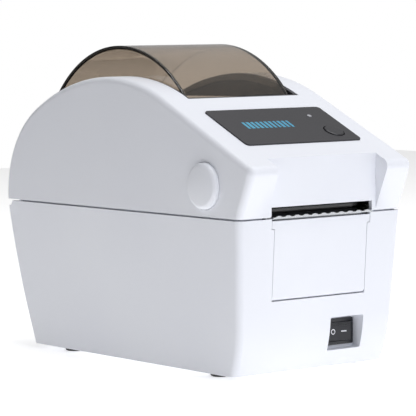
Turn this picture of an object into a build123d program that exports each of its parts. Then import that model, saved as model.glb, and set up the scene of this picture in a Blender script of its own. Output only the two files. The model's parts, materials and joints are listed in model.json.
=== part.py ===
"""Desktop thermal label printer: clamshell body, drop-in media bay and direct thermal mechanism.

Frame: millimetres, +X to the right seen from the front, +Y to the back, +Z up. The origin is
on the table, under the middle of the printer's bounding box. The front faces -Y.
"""

import os
from math import cos, degrees, pi, radians, sin, tan

from build123d import *

os.makedirs("parts", exist_ok=True)

# ---------------------------------------------------------------- driving dimensions
HALF_W = 60.0            # half width of the body at the seam
FRONT_Y = -107.3         # front face at the seam
NOSE_Y = -117.4          # tip of the overhanging lid nose
REAR_Y = 117.4           # rear face at the seam
FOOT_H = 3.0             # height of the rubber feet
SEAM_Z = 90.0            # seam between lid and lower housing
SEAM_GAP = 1.0           # open line between the two mouldings
WALL = 2.5               # moulded wall thickness
LOWER_DRAFT = 3.0        # side draft of the lower housing, degrees
LID_DRAFT = 1.0          # side draft of the lid, degrees
SLOPE = 24.8             # slope of the lid front, degrees
NOSE_Z = 118.4           # height of the slope line above the nose tip
CORNER_R = 4.0           # vertical corner radius of the body
TOP_EDGE_R = 4.0         # rounded edge between the lid top and sides
RUN = 0.05               # radial clearance of a shaft in its bush
CLEAR = 0.3              # clearance between separate curved bodies

BLOCK_HALF_W = 40.0      # half width of the recessed nose block
BLOCK_Y = -107.7         # face of the recessed nose block
SLOT_HALF_W = 37.0       # label exit slot
SLOT_TOP = 96.0

OPENING_HALF_W = 41.0    # media opening in the lid top
OPENING_FRONT = -40.3
OPENING_REAR = 108.8
WINDOW_R = 82.2          # outer radius of the smoked window
WINDOW_Y = 28.3
WINDOW_Z = 101.5
WINDOW_HALF_W = 38.6
WINDOW_T = 2.0

PANEL_HALF_W = 42.4      # dark control panel inlay on the slope
PANEL_FRONT = -93.6
PANEL_REAR = -55.6
PANEL_PROUD = 0.8
PANEL_T = 1.6             # whole thickness of the inlay, half of it sunk in its bed
PANEL_CORNER_R = 2.6
FEED_X = 30.0            # feed button
FEED_Y = -83.4
FEED_R = 5.9
FEED_GAP = 0.5           # ring gap round the feed button
FEED_PROUD = 1.4         # top of the button above the lid's slope
LED_X = 26.9
LED_Y = -65.7

RELEASE_Y = -77.7        # round lid release buttons on both sides
RELEASE_Z = 107.5
RELEASE_R = 13.0
RELEASE_PROUD = 4.2

DOOR_HALF_W = 34.0       # fold-down front door below the slot
DOOR_BOTTOM = 44.0
DOOR_TOP = 84.0
DOOR_T = 2.4
DOOR_EAR_HALF_W = 36.0
DOOR_EAR_TOP = 88.4
DOOR_GAP = 0.3
DOOR_HINGE_Y = -101.9
DOOR_HINGE_Z = 46.1
DOOR_ROD_R = 1.1

SWITCH_X = 23.0          # mains rocker in its recess
SWITCH_Z = 21.7
SWITCH_FACE_Y = -93.7
BEZEL_W = 21.0
BEZEL_H = 15.0
RECESS_X = (9.8, 34.5)
RECESS_Z = (12.2, 31.2)
ROCKER_PIVOT = 3.5       # depth of the rocker's pin behind the bezel

HINGE_Y = 114.2          # lid hinge axis
HINGE_PIN_R = 1.5
KNUCKLE_R = 2.7
HINGE_X = (31.0, 41.0)   # lid knuckle, then the housing knuckle outside it
KNUCKLE_W = 9.6

LIP_X = 57.2             # outer face of the inner seam lip
LIP_T = 1.2
PLATE_LOW = FOOT_H + 0.6 # base plate
PLATE_T = 2.4
BASE_SCREW_X = 46.0
BASE_SCREW_Y = 84.0
BASE_SCREW_R = 1.6
FOOT_X = 43.0
FOOT_Y = 70.0

PLATEN_Y = -94.0         # platen roller
PLATEN_Z = 84.3
PLATEN_R = 7.5
PLATEN_HALF_W = 35.0
SHAFT_R = 2.5
MODULE = 0.7             # gear module
PLATEN_TEETH = 24
IDLER_TEETH = 32
PINION_TEETH = 12
GEAR_X = 45.5            # inner face of the gear train
GEAR_W = 4.0

CHASSIS_X = 40.5         # inner face of the chassis side plates
CHASSIS_T = 2.0
CHASSIS_LOW = 32.5
CHASSIS_POST_X = 36.0
CHASSIS_POST_Y = -63.0

BAY_HALF_W = 41.5        # media bay
BAY_R = 62.0             # trough radius for the label roll
BAY_Y = 28.3
BAY_Z = 78.0
BAY_WALL = 2.0

slope_rise = tan(radians(SLOPE))
lower_inset = (SEAM_Z - FOOT_H) * tan(radians(LOWER_DRAFT))
lid_top = SEAM_Z + 76.0
seam_low = SEAM_Z - SEAM_GAP / 2
seam_high = SEAM_Z + SEAM_GAP / 2


def slope_z(y):
    """Height of the sloped lid top at depth y."""
    return NOSE_Z + (y - NOSE_Y) * slope_rise


slope_plane = Plane(
    origin=(0, PANEL_FRONT, slope_z(PANEL_FRONT)),
    x_dir=(1, 0, 0),
    z_dir=(0, -sin(radians(SLOPE)), cos(radians(SLOPE))),
)


def along_slope(y):
    """Distance up the slope plane from the panel's front edge to depth y."""
    return (y - PANEL_FRONT) / cos(radians(SLOPE))


def save(piece, label):
    """Names a finished piece and writes it to its own STEP file."""
    piece.part.label = label
    export_step(piece.part, f"parts/{label}.step")


def side_section(half_low, half_high, z_low, z_high):
    """Points of the drafted section across the body."""
    return [(-half_low, z_low), (half_low, z_low), (half_high, z_high), (-half_high, z_high)]


# ---------------------------------------------------------------- lower housing
def lower_side(inset, z_low, z_high):
    """Side outline of the lower housing, moved in by inset. Drawn in the YZ plane."""
    front_knee = (-103.0 + inset, 30.0)
    front_foot = (-96.2 + inset, z_low)
    rear_foot = (96.2 - inset, z_low)
    with BuildLine() as outline:
        lean = Line((FRONT_Y + inset, z_high), front_knee)
        TangentArc(front_knee, front_foot, tangent=lean % 1)
        Line(front_foot, rear_foot)
        ThreePointArc(rear_foot, (109.7 - inset, 48.0), (REAR_Y - inset, z_high))
        Line((REAR_Y - inset, z_high), (FRONT_Y + inset, z_high))
    return outline.line


lower_inner_foot = HALF_W - lower_inset - WALL

with BuildPart() as lower_core:
    with BuildSketch(Plane.YZ):
        add(lower_side(WALL, FOOT_H - 1, SEAM_Z + 1))
        make_face()
    extrude(amount=HALF_W, both=True)
    with BuildSketch(Plane.XZ):
        Polygon(*side_section(lower_inner_foot, HALF_W - WALL, FOOT_H - 1, SEAM_Z + 1), align=None)
    extrude(amount=REAR_Y + 5, both=True, mode=Mode.INTERSECT)

with BuildPart() as lower_outer:
    with BuildSketch(Plane.YZ):
        add(lower_side(0, FOOT_H, seam_low))
        make_face()
    extrude(amount=HALF_W, both=True)
    with BuildSketch(Plane.XZ):
        Polygon(*side_section(HALF_W - lower_inset, HALF_W, FOOT_H, seam_low), align=None)
    extrude(amount=REAR_Y + 5, both=True, mode=Mode.INTERSECT)
    corners = [e for e in lower_outer.edges() if abs(e.center().X) > 50 and e.length > 20]
    corners = [e for e in corners if e.bounding_box().size.Z > 12 and abs(e.center().Y) > 60]
    fillet(corners, radius=CORNER_R)

# Pocket for the mains rocker, trimmed to the outside of the housing.
recess_mid = ((RECESS_X[0] + RECESS_X[1]) / 2, (RECESS_Z[0] + RECESS_Z[1]) / 2)
recess_size = (RECESS_X[1] - RECESS_X[0], RECESS_Z[1] - RECESS_Z[0])
with BuildPart() as switch_pocket:
    with BuildSketch(Plane.XZ.offset(-SWITCH_FACE_Y - WALL)):
        with Locations(recess_mid):
            Rectangle(recess_size[0] + 2 * WALL, recess_size[1] + 2 * WALL)
    extrude(amount=20.0)
    add(lower_outer.part, mode=Mode.INTERSECT)

with BuildPart() as base_bosses:
    with Locations(Plane.XY.offset(PLATE_LOW + PLATE_T)):
        with GridLocations(2 * BASE_SCREW_X, 2 * BASE_SCREW_Y, 2, 2):
            Cylinder(3.4, 16, align=(Align.CENTER, Align.CENTER, Align.MIN))
        with GridLocations(2 * (BASE_SCREW_X + 6), 2 * BASE_SCREW_Y, 2, 2):
            Box(12, 2, 16, align=(Align.CENTER, Align.CENTER, Align.MIN))
    add(lower_outer.part, mode=Mode.INTERSECT)
    with BuildSketch(Plane.XY.offset(PLATE_LOW)):
        with GridLocations(2 * BASE_SCREW_X, 2 * BASE_SCREW_Y, 2, 2):
            Circle(BASE_SCREW_R)
    extrude(amount=10, mode=Mode.SUBTRACT)

with BuildPart() as lower_housing:
    add(lower_outer.part)
    add(lower_core.part, mode=Mode.SUBTRACT)
    add(switch_pocket.part)
    with BuildSketch(Plane.XZ.offset(-SWITCH_FACE_Y)):
        with Locations(recess_mid):
            RectangleRounded(recess_size[0], recess_size[1], 1.0)
    extrude(amount=30, mode=Mode.SUBTRACT)
    with BuildSketch(Plane.XZ.offset(-SWITCH_FACE_Y - 10)):
        with Locations((SWITCH_X, SWITCH_Z)):
            Rectangle(19.2, 13.0)
    extrude(amount=20, mode=Mode.SUBTRACT)
    # Inner lip that closes the seam to light: along both sides, and beside the front door.
    for side in (-1, 1):
        with Locations((side * (LIP_X - LIP_T / 2), 0, SEAM_Z - 10)):
            Box(LIP_T, 208, 11.6, align=(Align.CENTER, Align.CENTER, Align.MIN))
        with Locations((side * 48.8, -103.9, SEAM_Z - 2)):
            Box(16.0, 2.2, 1.5, align=(Align.CENTER, Align.CENTER, Align.MIN))
        with Locations((side * 48.8, -103.5, SEAM_Z - 2)):
            Box(16.0, 1.3, 3.6, align=(Align.CENTER, Align.CENTER, Align.MIN))
    # Bosses for the base screws, tied to the side walls.
    add(base_bosses.part)
    # Opening behind the front door, and the door's own pocket.
    with BuildSketch(Plane.XZ.offset(95)):
        with Locations((0, DOOR_BOTTOM - DOOR_GAP)):
            Rectangle(2 * (DOOR_HALF_W + DOOR_GAP), 50, align=(Align.CENTER, Align.MIN))
        with Locations((0, DOOR_TOP - DOOR_GAP)):
            Rectangle(2 * (DOOR_EAR_HALF_W + DOOR_GAP), 10, align=(Align.CENTER, Align.MIN))
    extrude(amount=20, mode=Mode.SUBTRACT)
    # Bosses that hold the ends of the door's hinge rod.
    for side in (-1, 1):
        with Locations((side * 37.2, -101.4, DOOR_HINGE_Z)):
            Box(4.4, 5.0, 6.0)
    with BuildSketch(Plane.YZ.offset(-39.4)):
        with Locations((DOOR_HINGE_Y, DOOR_HINGE_Z)):
            Circle(DOOR_ROD_R + RUN)
    extrude(amount=78.8, mode=Mode.SUBTRACT)
    # Rear seam notch, so the lid's rear wall can swing down past the hinge axis.
    with BuildSketch(Plane.YZ):
        with Locations((HINGE_Y, SEAM_Z)):
            Circle(3.7)
        with Locations((HINGE_Y + 5, SEAM_Z - 3.7)):
            Rectangle(10, 10, align=(Align.CENTER, Align.MIN))
    extrude(amount=HALF_W + 1, both=True, mode=Mode.SUBTRACT)
    # Hinge knuckles of the housing, on webs from the rear wall.
    for side in (-1, 1):
        knuckle_x = side * (HINGE_X[1] + KNUCKLE_W / 2)
        with BuildSketch(Plane.YZ.offset(knuckle_x)):
            with Locations((HINGE_Y, SEAM_Z)):
                Circle(KNUCKLE_R)
            with Locations((HINGE_Y - KNUCKLE_R, SEAM_Z)):
                Rectangle(2 * KNUCKLE_R - 0.6, 12, align=(Align.MIN, Align.MAX))
        extrude(amount=KNUCKLE_W / 2, both=True)
    hinge_reach = HINGE_X[1] + KNUCKLE_W
    with BuildSketch(Plane.YZ.offset(-hinge_reach)):
        with Locations((HINGE_Y, SEAM_Z)):
            Circle(HINGE_PIN_R)
    extrude(amount=2 * hinge_reach, mode=Mode.SUBTRACT)
    # Lip behind the rear seam notch, on a foot from the rear wall.
    with Locations((0, 109.4, SEAM_Z - 10)):
        Box(2 * HINGE_X[0] - 2, LIP_T, 11.6, align=(Align.CENTER, Align.CENTER, Align.MIN))
        Box(2 * HINGE_X[0] - 2, 5.0, LIP_T, align=(Align.CENTER, Align.MIN, Align.MIN))
    # Catch ledges for the lid latches.
    for side in (-1, 1):
        with Locations((side * 57.2, RELEASE_Y, SEAM_Z - 6.0)):
            Box(2.6, 12, 2.4)
    # Rear connector cut-outs.
    with BuildSketch(Plane.XZ.offset(-REAR_Y - 5)):
        with Locations((-20, 30)):
            Rectangle(60, 18)
    extrude(amount=25, mode=Mode.SUBTRACT)
save(lower_housing, "lower_housing")

# ---------------------------------------------------------------- connector plate and sockets
PLATE_Y = 100.6          # front face of the connector plate
SOCKET_Z = 30.0
INLET_X = -40.0
USB_X = -21.0
NETWORK_X = -1.0
with BuildPart() as connector_plate:
    with BuildSketch(Plane.XZ.offset(-PLATE_Y)):
        with Locations((-20, 30)):
            Rectangle(59.4, 17.4)
    extrude(amount=-1.6)
    with BuildSketch(Plane.XZ.offset(-PLATE_Y)):
        with Locations((INLET_X, SOCKET_Z)):
            Circle(5.2)
        with Locations((USB_X, SOCKET_Z)):
            Rectangle(12.4, 11.2)
        with Locations((NETWORK_X, SOCKET_Z)):
            Rectangle(16.4, 14.0)
    extrude(amount=-1.6, mode=Mode.SUBTRACT)
save(connector_plate, "connector_plate")

with BuildPart() as power_inlet:
    with BuildSketch(Plane.XZ.offset(-PLATE_Y - 2.4)):
        with Locations((INLET_X, SOCKET_Z)):
            Circle(5.0)
    extrude(amount=3.4)
    with BuildSketch(Plane.XZ.offset(-PLATE_Y + 1.0)):
        with Locations((INLET_X, SOCKET_Z - 2)):
            Rectangle(11, 14)
    extrude(amount=12)
    with BuildSketch(Plane.XZ.offset(-PLATE_Y - 2.4)):
        with Locations((INLET_X, SOCKET_Z)):
            Circle(3.2)
    extrude(amount=11, mode=Mode.SUBTRACT)
    with BuildSketch(Plane.XZ.offset(-PLATE_Y - 0.6)):
        with Locations((INLET_X, SOCKET_Z)):
            Circle(1.0)
    extrude(amount=10)
save(power_inlet, "power_inlet")

with BuildPart() as usb_socket:
    with BuildSketch(Plane.XZ.offset(-PLATE_Y - 2.0)):
        with Locations((USB_X, SOCKET_Z)):
            Rectangle(12.0, 10.8)
    extrude(amount=16)
    with BuildSketch(Plane.XZ.offset(-PLATE_Y - 2.0)):
        with Locations((USB_X, SOCKET_Z)):
            Rectangle(8.5, 7.8)
            with Locations((-4.25, 3.9), (4.25, 3.9)):
                Rectangle(2.6, 2.6, rotation=45, mode=Mode.SUBTRACT)
            Rectangle(5.6, 3.2, mode=Mode.SUBTRACT)
    extrude(amount=9, mode=Mode.SUBTRACT)
save(usb_socket, "usb_socket")

with BuildPart() as network_socket:
    with BuildSketch(Plane.XZ.offset(-PLATE_Y - 2.0)):
        with Locations((NETWORK_X, SOCKET_Z)):
            Rectangle(16.0, 13.6)
    extrude(amount=16)
    with BuildSketch(Plane.XZ.offset(-PLATE_Y - 2.0)):
        with Locations((NETWORK_X, SOCKET_Z - 0.4)):
            Rectangle(11.8, 8.4)
        with Locations((NETWORK_X, SOCKET_Z + 4.4)):
            Rectangle(6.2, 2.2)
    extrude(amount=11, mode=Mode.SUBTRACT)
save(network_socket, "network_socket")

# ---------------------------------------------------------------- base plate, feet and screws
with BuildPart() as bottom_plate:
    with BuildSketch(Plane.XY.offset(PLATE_LOW)):
        RectangleRounded(2 * (lower_inner_foot - 0.4), 2 * (96.2 - WALL - 1.2), 5)
    extrude(amount=2.4)
    # Ventilation slots under the power electronics.
    with BuildSketch(Plane.XY.offset(PLATE_LOW)):
        with GridLocations(6.0, 40, 9, 1):
            SlotOverall(34, 2.4, rotation=90)
    extrude(amount=2.4, mode=Mode.SUBTRACT)
    # Posts under the mechanism chassis, and standoffs for the main board.
    with Locations(Plane.XY.offset(PLATE_LOW + 2.3)):
        with Locations((-CHASSIS_POST_X, CHASSIS_POST_Y), (CHASSIS_POST_X, CHASSIS_POST_Y)):
            Cylinder(3.6, CHASSIS_LOW - PLATE_LOW - 2.3, align=(Align.CENTER, Align.CENTER, Align.MIN))
    with Locations(Plane.XY.offset(PLATE_LOW + 2.3)):
        with GridLocations(84, 100, 2, 2):
            Cylinder(3.0, 5.0, align=(Align.CENTER, Align.CENTER, Align.MIN))
    with Locations(Plane.XY.offset(PLATE_LOW)):
        with GridLocations(2 * BASE_SCREW_X, 2 * BASE_SCREW_Y, 2, 2):
            Hole(1.7, depth=10)
save(bottom_plate, "bottom_plate")

with BuildPart() as rubber_feet:
    with BuildSketch():
        with GridLocations(2 * FOOT_X, 2 * FOOT_Y, 2, 2):
            Circle(6.2)
    extrude(amount=FOOT_H + 0.6)
    chamfer(rubber_feet.faces().sort_by(Axis.Z)[:4].edges(), length=0.8)
save(rubber_feet, "rubber_feet")

with BuildPart() as base_screws:
    with Locations(Plane.XY.offset(PLATE_LOW)):
        with GridLocations(2 * BASE_SCREW_X, 2 * BASE_SCREW_Y, 2, 2):
            Cylinder(BASE_SCREW_R, 9.0, align=(Align.CENTER, Align.CENTER, Align.MIN))
    with Locations(Plane.XY.offset(PLATE_LOW)):
        with GridLocations(2 * BASE_SCREW_X, 2 * BASE_SCREW_Y, 2, 2):
            Cylinder(2.9, 1.6, align=(Align.CENTER, Align.CENTER, Align.MAX))
    with Locations(Plane.XY.offset(PLATE_LOW - 1.6)):
        with GridLocations(2 * BASE_SCREW_X, 2 * BASE_SCREW_Y, 2, 2):
            Box(3.6, 0.7, 1.4, mode=Mode.SUBTRACT)
            Box(0.7, 3.6, 1.4, mode=Mode.SUBTRACT)
save(base_screws, "base_screws")

BOARD_Z = PLATE_LOW + 7.3
with BuildPart() as main_board:
    with Locations((0, 0, BOARD_Z)):
        Box(94, 112, 1.6, align=(Align.CENTER, Align.CENTER, Align.MIN))
    with Locations(Plane.XY.offset(BOARD_Z + 1.6)):
        with Locations((-14, -12)):
            Box(18, 18, 1.8, align=(Align.CENTER, Align.CENTER, Align.MIN))
        with Locations((30, -40), (-28, -38)):
            Cylinder(5.0, 9.0, align=(Align.CENTER, Align.CENTER, Align.MIN))
        with Locations((24, -22)):
            Box(16, 8, 2.6, align=(Align.CENTER, Align.CENTER, Align.MIN))
    with Locations(Plane.XY.offset(BOARD_Z)):
        with GridLocations(84, 100, 2, 2):
            Hole(1.7, depth=4)
save(main_board, "main_board")

with BuildPart() as board_screws:
    with Locations(Plane.XY.offset(BOARD_Z + 1.6)):
        with GridLocations(84, 100, 2, 2):
            Cylinder(2.7, 1.8, align=(Align.CENTER, Align.CENTER, Align.MIN))
    with Locations(Plane.XY.offset(BOARD_Z + 0.1)):
        with GridLocations(84, 100, 2, 2):
            Cylinder(1.5, 1.6, align=(Align.CENTER, Align.CENTER, Align.MIN))
save(board_screws, "board_screws")

# ---------------------------------------------------------------- media bay
bay_top = SEAM_Z - 2.5
SHELF_Z = 76.0
SHELF_FRONT = -80.0
RAMP = 52.0


def bay_outline(grow):
    """Side outline of the media bay hollow, grown outwards: a trough, a ramp and a shelf."""
    radius = BAY_R + grow
    shelf_z = SHELF_Z - grow
    top = bay_top + grow
    low_y = BAY_Y - radius * sin(radians(RAMP))
    low_z = BAY_Z - radius * cos(radians(RAMP))
    shelf_y = low_y - (shelf_z - low_z) / tan(radians(RAMP))
    with BuildLine() as outline:
        Line((BAY_Y + radius, top), (BAY_Y + radius, BAY_Z))
        trough = CenterArc((BAY_Y, BAY_Z), radius, 0, -(90 + RAMP))
        Line(trough @ 1, (shelf_y, shelf_z))
        Line((shelf_y, shelf_z), (SHELF_FRONT - grow, shelf_z))
        Line((SHELF_FRONT - grow, shelf_z), (SHELF_FRONT - grow, top))
        Line((SHELF_FRONT - grow, top), (BAY_Y + radius, top))
    return outline.line


GUIDE_TRACK_FRONT = -68.2    # slots in the shelf for the stems of the media guides
GUIDE_TRACK_REAR = -53.8
GUIDE_PINION_Y = (GUIDE_TRACK_FRONT + GUIDE_TRACK_REAR) / 2
GUIDE_MODULE = 0.8
GUIDE_PINION_TEETH = 12
GUIDE_PITCH_R = GUIDE_MODULE * GUIDE_PINION_TEETH / 2
RACK_Z = 70.2
RACK_T = 2.8

with BuildPart() as bay_liner:
    with BuildSketch(Plane.YZ):
        add(bay_outline(BAY_WALL))
        make_face()
    extrude(amount=BAY_HALF_W + BAY_WALL, both=True)
    with BuildSketch(Plane.YZ):
        add(bay_outline(0))
        make_face()
    extrude(amount=BAY_HALF_W, both=True, mode=Mode.SUBTRACT)
    with Locations((0, 0, bay_top)):
        Box(300, 300, 10, align=(Align.CENTER, Align.CENTER, Align.MIN), mode=Mode.SUBTRACT)
    # Rim flange that rests near the seam, with the bay itself left open.
    with BuildSketch(Plane.XY.offset(bay_top - 1.6)):
        with Locations((0, (SHELF_FRONT + BAY_Y + BAY_R) / 2)):
            Rectangle(2 * (BAY_HALF_W + 7), BAY_Y + BAY_R - SHELF_FRONT + 2 * BAY_WALL)
            Rectangle(2 * BAY_HALF_W, BAY_Y + BAY_R - SHELF_FRONT, mode=Mode.SUBTRACT)
    extrude(amount=1.6)
    # Room at the front corners for the lid latches and the platen gear.
    for side in (-1, 1):
        with Locations((side * (BAY_HALF_W + 8), SHELF_FRONT - 2, bay_top)):
            Box(12, 28, 10, mode=Mode.SUBTRACT)
    # Open front above the shelf, where the label web leaves over the platen.
    with Locations((0, SHELF_FRONT - 1, SHELF_Z + 2.5)):
        Box(2 * BAY_HALF_W - 4, 8, 20, align=(Align.CENTER, Align.CENTER, Align.MIN), mode=Mode.SUBTRACT)
    # Tracks for the stems of the two media guides.
    for track in (GUIDE_TRACK_FRONT, GUIDE_TRACK_REAR):
        with Locations((0, track, SHELF_Z - 1)):
            Box(2 * BAY_HALF_W - 2, 3.0, 3.0, mode=Mode.SUBTRACT)
    # Stud under the shelf for the guide pinion.
    with Locations((0, GUIDE_PINION_Y, RACK_Z - 0.6)):
        Cylinder(1.5, SHELF_Z - RACK_Z - 1.0, align=(Align.CENTER, Align.CENTER, Align.MIN))
save(bay_liner, "bay_liner")


def tooth_points(angle, pitch_r, module):
    """One straight-sided gear tooth that points at the given angle, in degrees."""
    half_pitch = degrees(0.44 * pi * module / 2 / pitch_r)
    tip_r = pitch_r + 0.8 * module
    root_r = pitch_r - 1.1 * module
    half_tip = half_pitch * 0.5
    half_root = half_pitch * 1.55
    corners = ((root_r - 0.3, -half_root), (tip_r, -half_tip), (tip_r, half_tip), (root_r - 0.3, half_root))
    return [(r * cos(radians(angle + a)), r * sin(radians(angle + a))) for r, a in corners]


def gear_sketch(pitch_r, module, teeth, tooth_angle):
    """Adds a spur gear's outline to the open sketch, centred on the current location."""
    Circle(pitch_r - 1.1 * module)
    for k in range(teeth):
        Polygon(*tooth_points(tooth_angle + k * 360 / teeth, pitch_r, module), align=None)


# ---------------------------------------------------------------- media guides and their rack drive
GUIDE_X = 30.0
GUIDE_T = 2.4
RACK_FACE = GUIDE_PITCH_R + 1.1 * GUIDE_MODULE
RACK_LENGTH = 42.0
RACK_PITCH = pi * GUIDE_MODULE

# side +1 is the right guide, with its rack in the rear track; side -1 is the left guide.
guide_rows = (
    (-1, "media_guide_left", GUIDE_TRACK_FRONT),
    (1, "media_guide_right", GUIDE_TRACK_REAR),
)
for side, label, track in guide_rows:
    with BuildPart() as guide:
        # Arm from the shelf over the roll, with a round hub that carries the roll's core.
        with BuildSketch(Plane.YZ.offset(side * GUIDE_X)):
            with BuildLine():
                Polyline((-72, SHELF_Z + 0.4), (-50, SHELF_Z + 0.4), (8, 62), (28.3, 58))
                ThreePointArc((28.3, 58), (48.3, 78), (28.3, 98))
                Polyline((28.3, 98), (-30, 89), (-72, 86), (-72, SHELF_Z + 0.4))
            make_face()
        extrude(amount=side * GUIDE_T)
        hub_plane = Plane(origin=(side * GUIDE_X, BAY_Y, BAY_Z), x_dir=(0, 1, 0), z_dir=(-side, 0, 0))
        with BuildSketch(hub_plane):
            Circle(11.0)
        extrude(amount=4.0, taper=14)
        with BuildSketch(hub_plane):
            Circle(6.0)
        extrude(amount=5.0, mode=Mode.SUBTRACT)
        # Stem through the track and rack under the shelf.
        stem_x = side * (GUIDE_X + GUIDE_T / 2)
        with Locations((stem_x, track, RACK_Z)):
            Box(GUIDE_T, 2.4, SHELF_Z - RACK_Z + 1.0, align=(Align.CENTER, Align.CENTER, Align.MIN))
        reach = 1 if track > GUIDE_PINION_Y else -1
        rack_far = GUIDE_PINION_Y + reach * (RACK_FACE + 3.0)
        rack_near = GUIDE_PINION_Y + reach * RACK_FACE
        with Locations((side * (GUIDE_X + GUIDE_T - RACK_LENGTH / 2), (rack_far + rack_near) / 2, RACK_Z)):
            Box(RACK_LENGTH, 3.0, RACK_T, align=(Align.CENTER, Align.CENTER, Align.MIN))
        foot_depth = abs(track - rack_near) + 2.4
        with Locations((stem_x, (track + rack_near) / 2, RACK_Z)):
            Box(GUIDE_T, foot_depth, RACK_T, align=(Align.CENTER, Align.CENTER, Align.MIN))
        with BuildSketch(Plane.XY.offset(RACK_Z)):
            for k in range(-4, 9):
                tooth_x = side * (k + 0.5) * RACK_PITCH
                root = GUIDE_PINION_Y + reach * (RACK_FACE + 0.3)
                tip = GUIDE_PINION_Y + reach * (GUIDE_PITCH_R - 0.8 * GUIDE_MODULE)
                with Locations((tooth_x, 0)):
                    Polygon((-0.85, root), (-0.28, tip), (0.28, tip), (0.85, root), align=None)
        extrude(amount=RACK_T)
    save(guide, label)

with BuildPart() as guide_pinion:
    with BuildSketch(Plane.XY.offset(RACK_Z)):
        with Locations((0, GUIDE_PINION_Y)):
            gear_sketch(GUIDE_PITCH_R, GUIDE_MODULE, GUIDE_PINION_TEETH, 90)
            Circle(1.5 + RUN, mode=Mode.SUBTRACT)
    extrude(amount=RACK_T)
save(guide_pinion, "guide_pinion")

# ---------------------------------------------------------------- print mechanism in the housing
platen_r = MODULE * PLATEN_TEETH / 2
idler_r = MODULE * IDLER_TEETH / 2
pinion_r = MODULE * PINION_TEETH / 2
# The idler hangs below and behind the platen; the motor sits a whole number of half teeth round.
IDLER_LEAN = 21.0
step = 360 / IDLER_TEETH
MOTOR_LEAN = 90 - (14.5 * step - (90 + IDLER_LEAN))
idler_y = PLATEN_Y + (platen_r + idler_r) * sin(radians(IDLER_LEAN))
idler_z = PLATEN_Z - (platen_r + idler_r) * cos(radians(IDLER_LEAN))
motor_y = idler_y + (idler_r + pinion_r) * sin(radians(MOTOR_LEAN))
motor_z = idler_z - (idler_r + pinion_r) * cos(radians(MOTOR_LEAN))
MOTOR_R = 17.5
MOTOR_L = 19.0
BUSH_R = 4.4

with BuildPart() as mechanism_chassis:
    for side in (-1, 1):
        with BuildSketch(Plane.YZ.offset(side * CHASSIS_X)):
            with BuildLine():
                Polyline(
                    (-102.0, 78), (-102.0, 88.6), (-84, 88.6), (-84, 72.5), (-56, 68.5), (-56, CHASSIS_LOW),
                    (-92, CHASSIS_LOW), (-92, 66), (-102.0, 78),
                )
            make_face()
            with Locations((PLATEN_Y, PLATEN_Z)):
                Circle(BUSH_R, mode=Mode.SUBTRACT)
            if side > 0:
                with Locations((idler_y, idler_z)):
                    Circle(2.0, mode=Mode.SUBTRACT)
                with Locations((motor_y, motor_z)):
                    Circle(3.0, mode=Mode.SUBTRACT)
        extrude(amount=side * CHASSIS_T)
    with Locations((0, -73, CHASSIS_LOW)):
        Box(2 * CHASSIS_X + 0.2, 34, 1.6, align=(Align.CENTER, Align.CENTER, Align.MIN))
    with Locations(Plane.XY.offset(CHASSIS_LOW - 1)):
        with Locations((-CHASSIS_POST_X, CHASSIS_POST_Y), (CHASSIS_POST_X, CHASSIS_POST_Y)):
            Cylinder(1.6, 6, align=(Align.CENTER, Align.CENTER, Align.MIN), mode=Mode.SUBTRACT)
save(mechanism_chassis, "mechanism_chassis")

with BuildPart() as chassis_screws:
    with Locations(Plane.XY.offset(CHASSIS_LOW + 1.6)):
        with Locations((-CHASSIS_POST_X, CHASSIS_POST_Y), (CHASSIS_POST_X, CHASSIS_POST_Y)):
            Cylinder(2.8, 1.8, align=(Align.CENTER, Align.CENTER, Align.MIN))
    with Locations(Plane.XY.offset(CHASSIS_LOW)):
        with Locations((-CHASSIS_POST_X, CHASSIS_POST_Y), (CHASSIS_POST_X, CHASSIS_POST_Y)):
            Cylinder(1.5, 1.6, align=(Align.CENTER, Align.CENTER, Align.MIN))
save(chassis_screws, "chassis_screws")

with BuildPart() as platen_bushes:
    for side in (-1, 1):
        with BuildSketch(Plane.YZ.offset(side * (CHASSIS_X - 1.0))):
            with Locations((PLATEN_Y, PLATEN_Z)):
                Circle(BUSH_R)
                Circle(SHAFT_R + RUN, mode=Mode.SUBTRACT)
        extrude(amount=side * (CHASSIS_T + 2.0))
        with BuildSketch(Plane.YZ.offset(side * (CHASSIS_X - 1.0))):
            with Locations((PLATEN_Y, PLATEN_Z)):
                Circle(BUSH_R + 1.2)
                Circle(SHAFT_R + RUN, mode=Mode.SUBTRACT)
        extrude(amount=side * 1.0)
save(platen_bushes, "platen_bushes")

CORE_R = 4.0
with BuildPart() as platen_shaft:
    with BuildSketch(Plane.YZ.offset(-44.4)):
        with Locations((PLATEN_Y, PLATEN_Z)):
            Circle(SHAFT_R)
    extrude(amount=44.4 + 50.2)
    with BuildSketch(Plane.YZ.offset(-PLATEN_HALF_W - 0.6)):
        with Locations((PLATEN_Y, PLATEN_Z)):
            Circle(CORE_R)
    extrude(amount=2 * PLATEN_HALF_W + 1.2)
save(platen_shaft, "platen_shaft")

with BuildPart() as platen_rubber:
    with BuildSketch(Plane.YZ.offset(-PLATEN_HALF_W)):
        with Locations((PLATEN_Y, PLATEN_Z)):
            Circle(PLATEN_R)
            Circle(CORE_R, mode=Mode.SUBTRACT)
    extrude(amount=2 * PLATEN_HALF_W)
save(platen_rubber, "platen_rubber")

with BuildPart() as platen_gear:
    with BuildSketch(Plane.YZ.offset(GEAR_X)):
        with Locations((PLATEN_Y, PLATEN_Z)):
            gear_sketch(platen_r, MODULE, PLATEN_TEETH, IDLER_LEAN - 90)
            Circle(SHAFT_R, mode=Mode.SUBTRACT)
    extrude(amount=GEAR_W)
    with BuildSketch(Plane.YZ.offset(GEAR_X - 1.2)):
        with Locations((PLATEN_Y, PLATEN_Z)):
            Circle(4.0)
            Circle(SHAFT_R, mode=Mode.SUBTRACT)
    extrude(amount=1.2)
save(platen_gear, "platen_gear")

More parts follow.
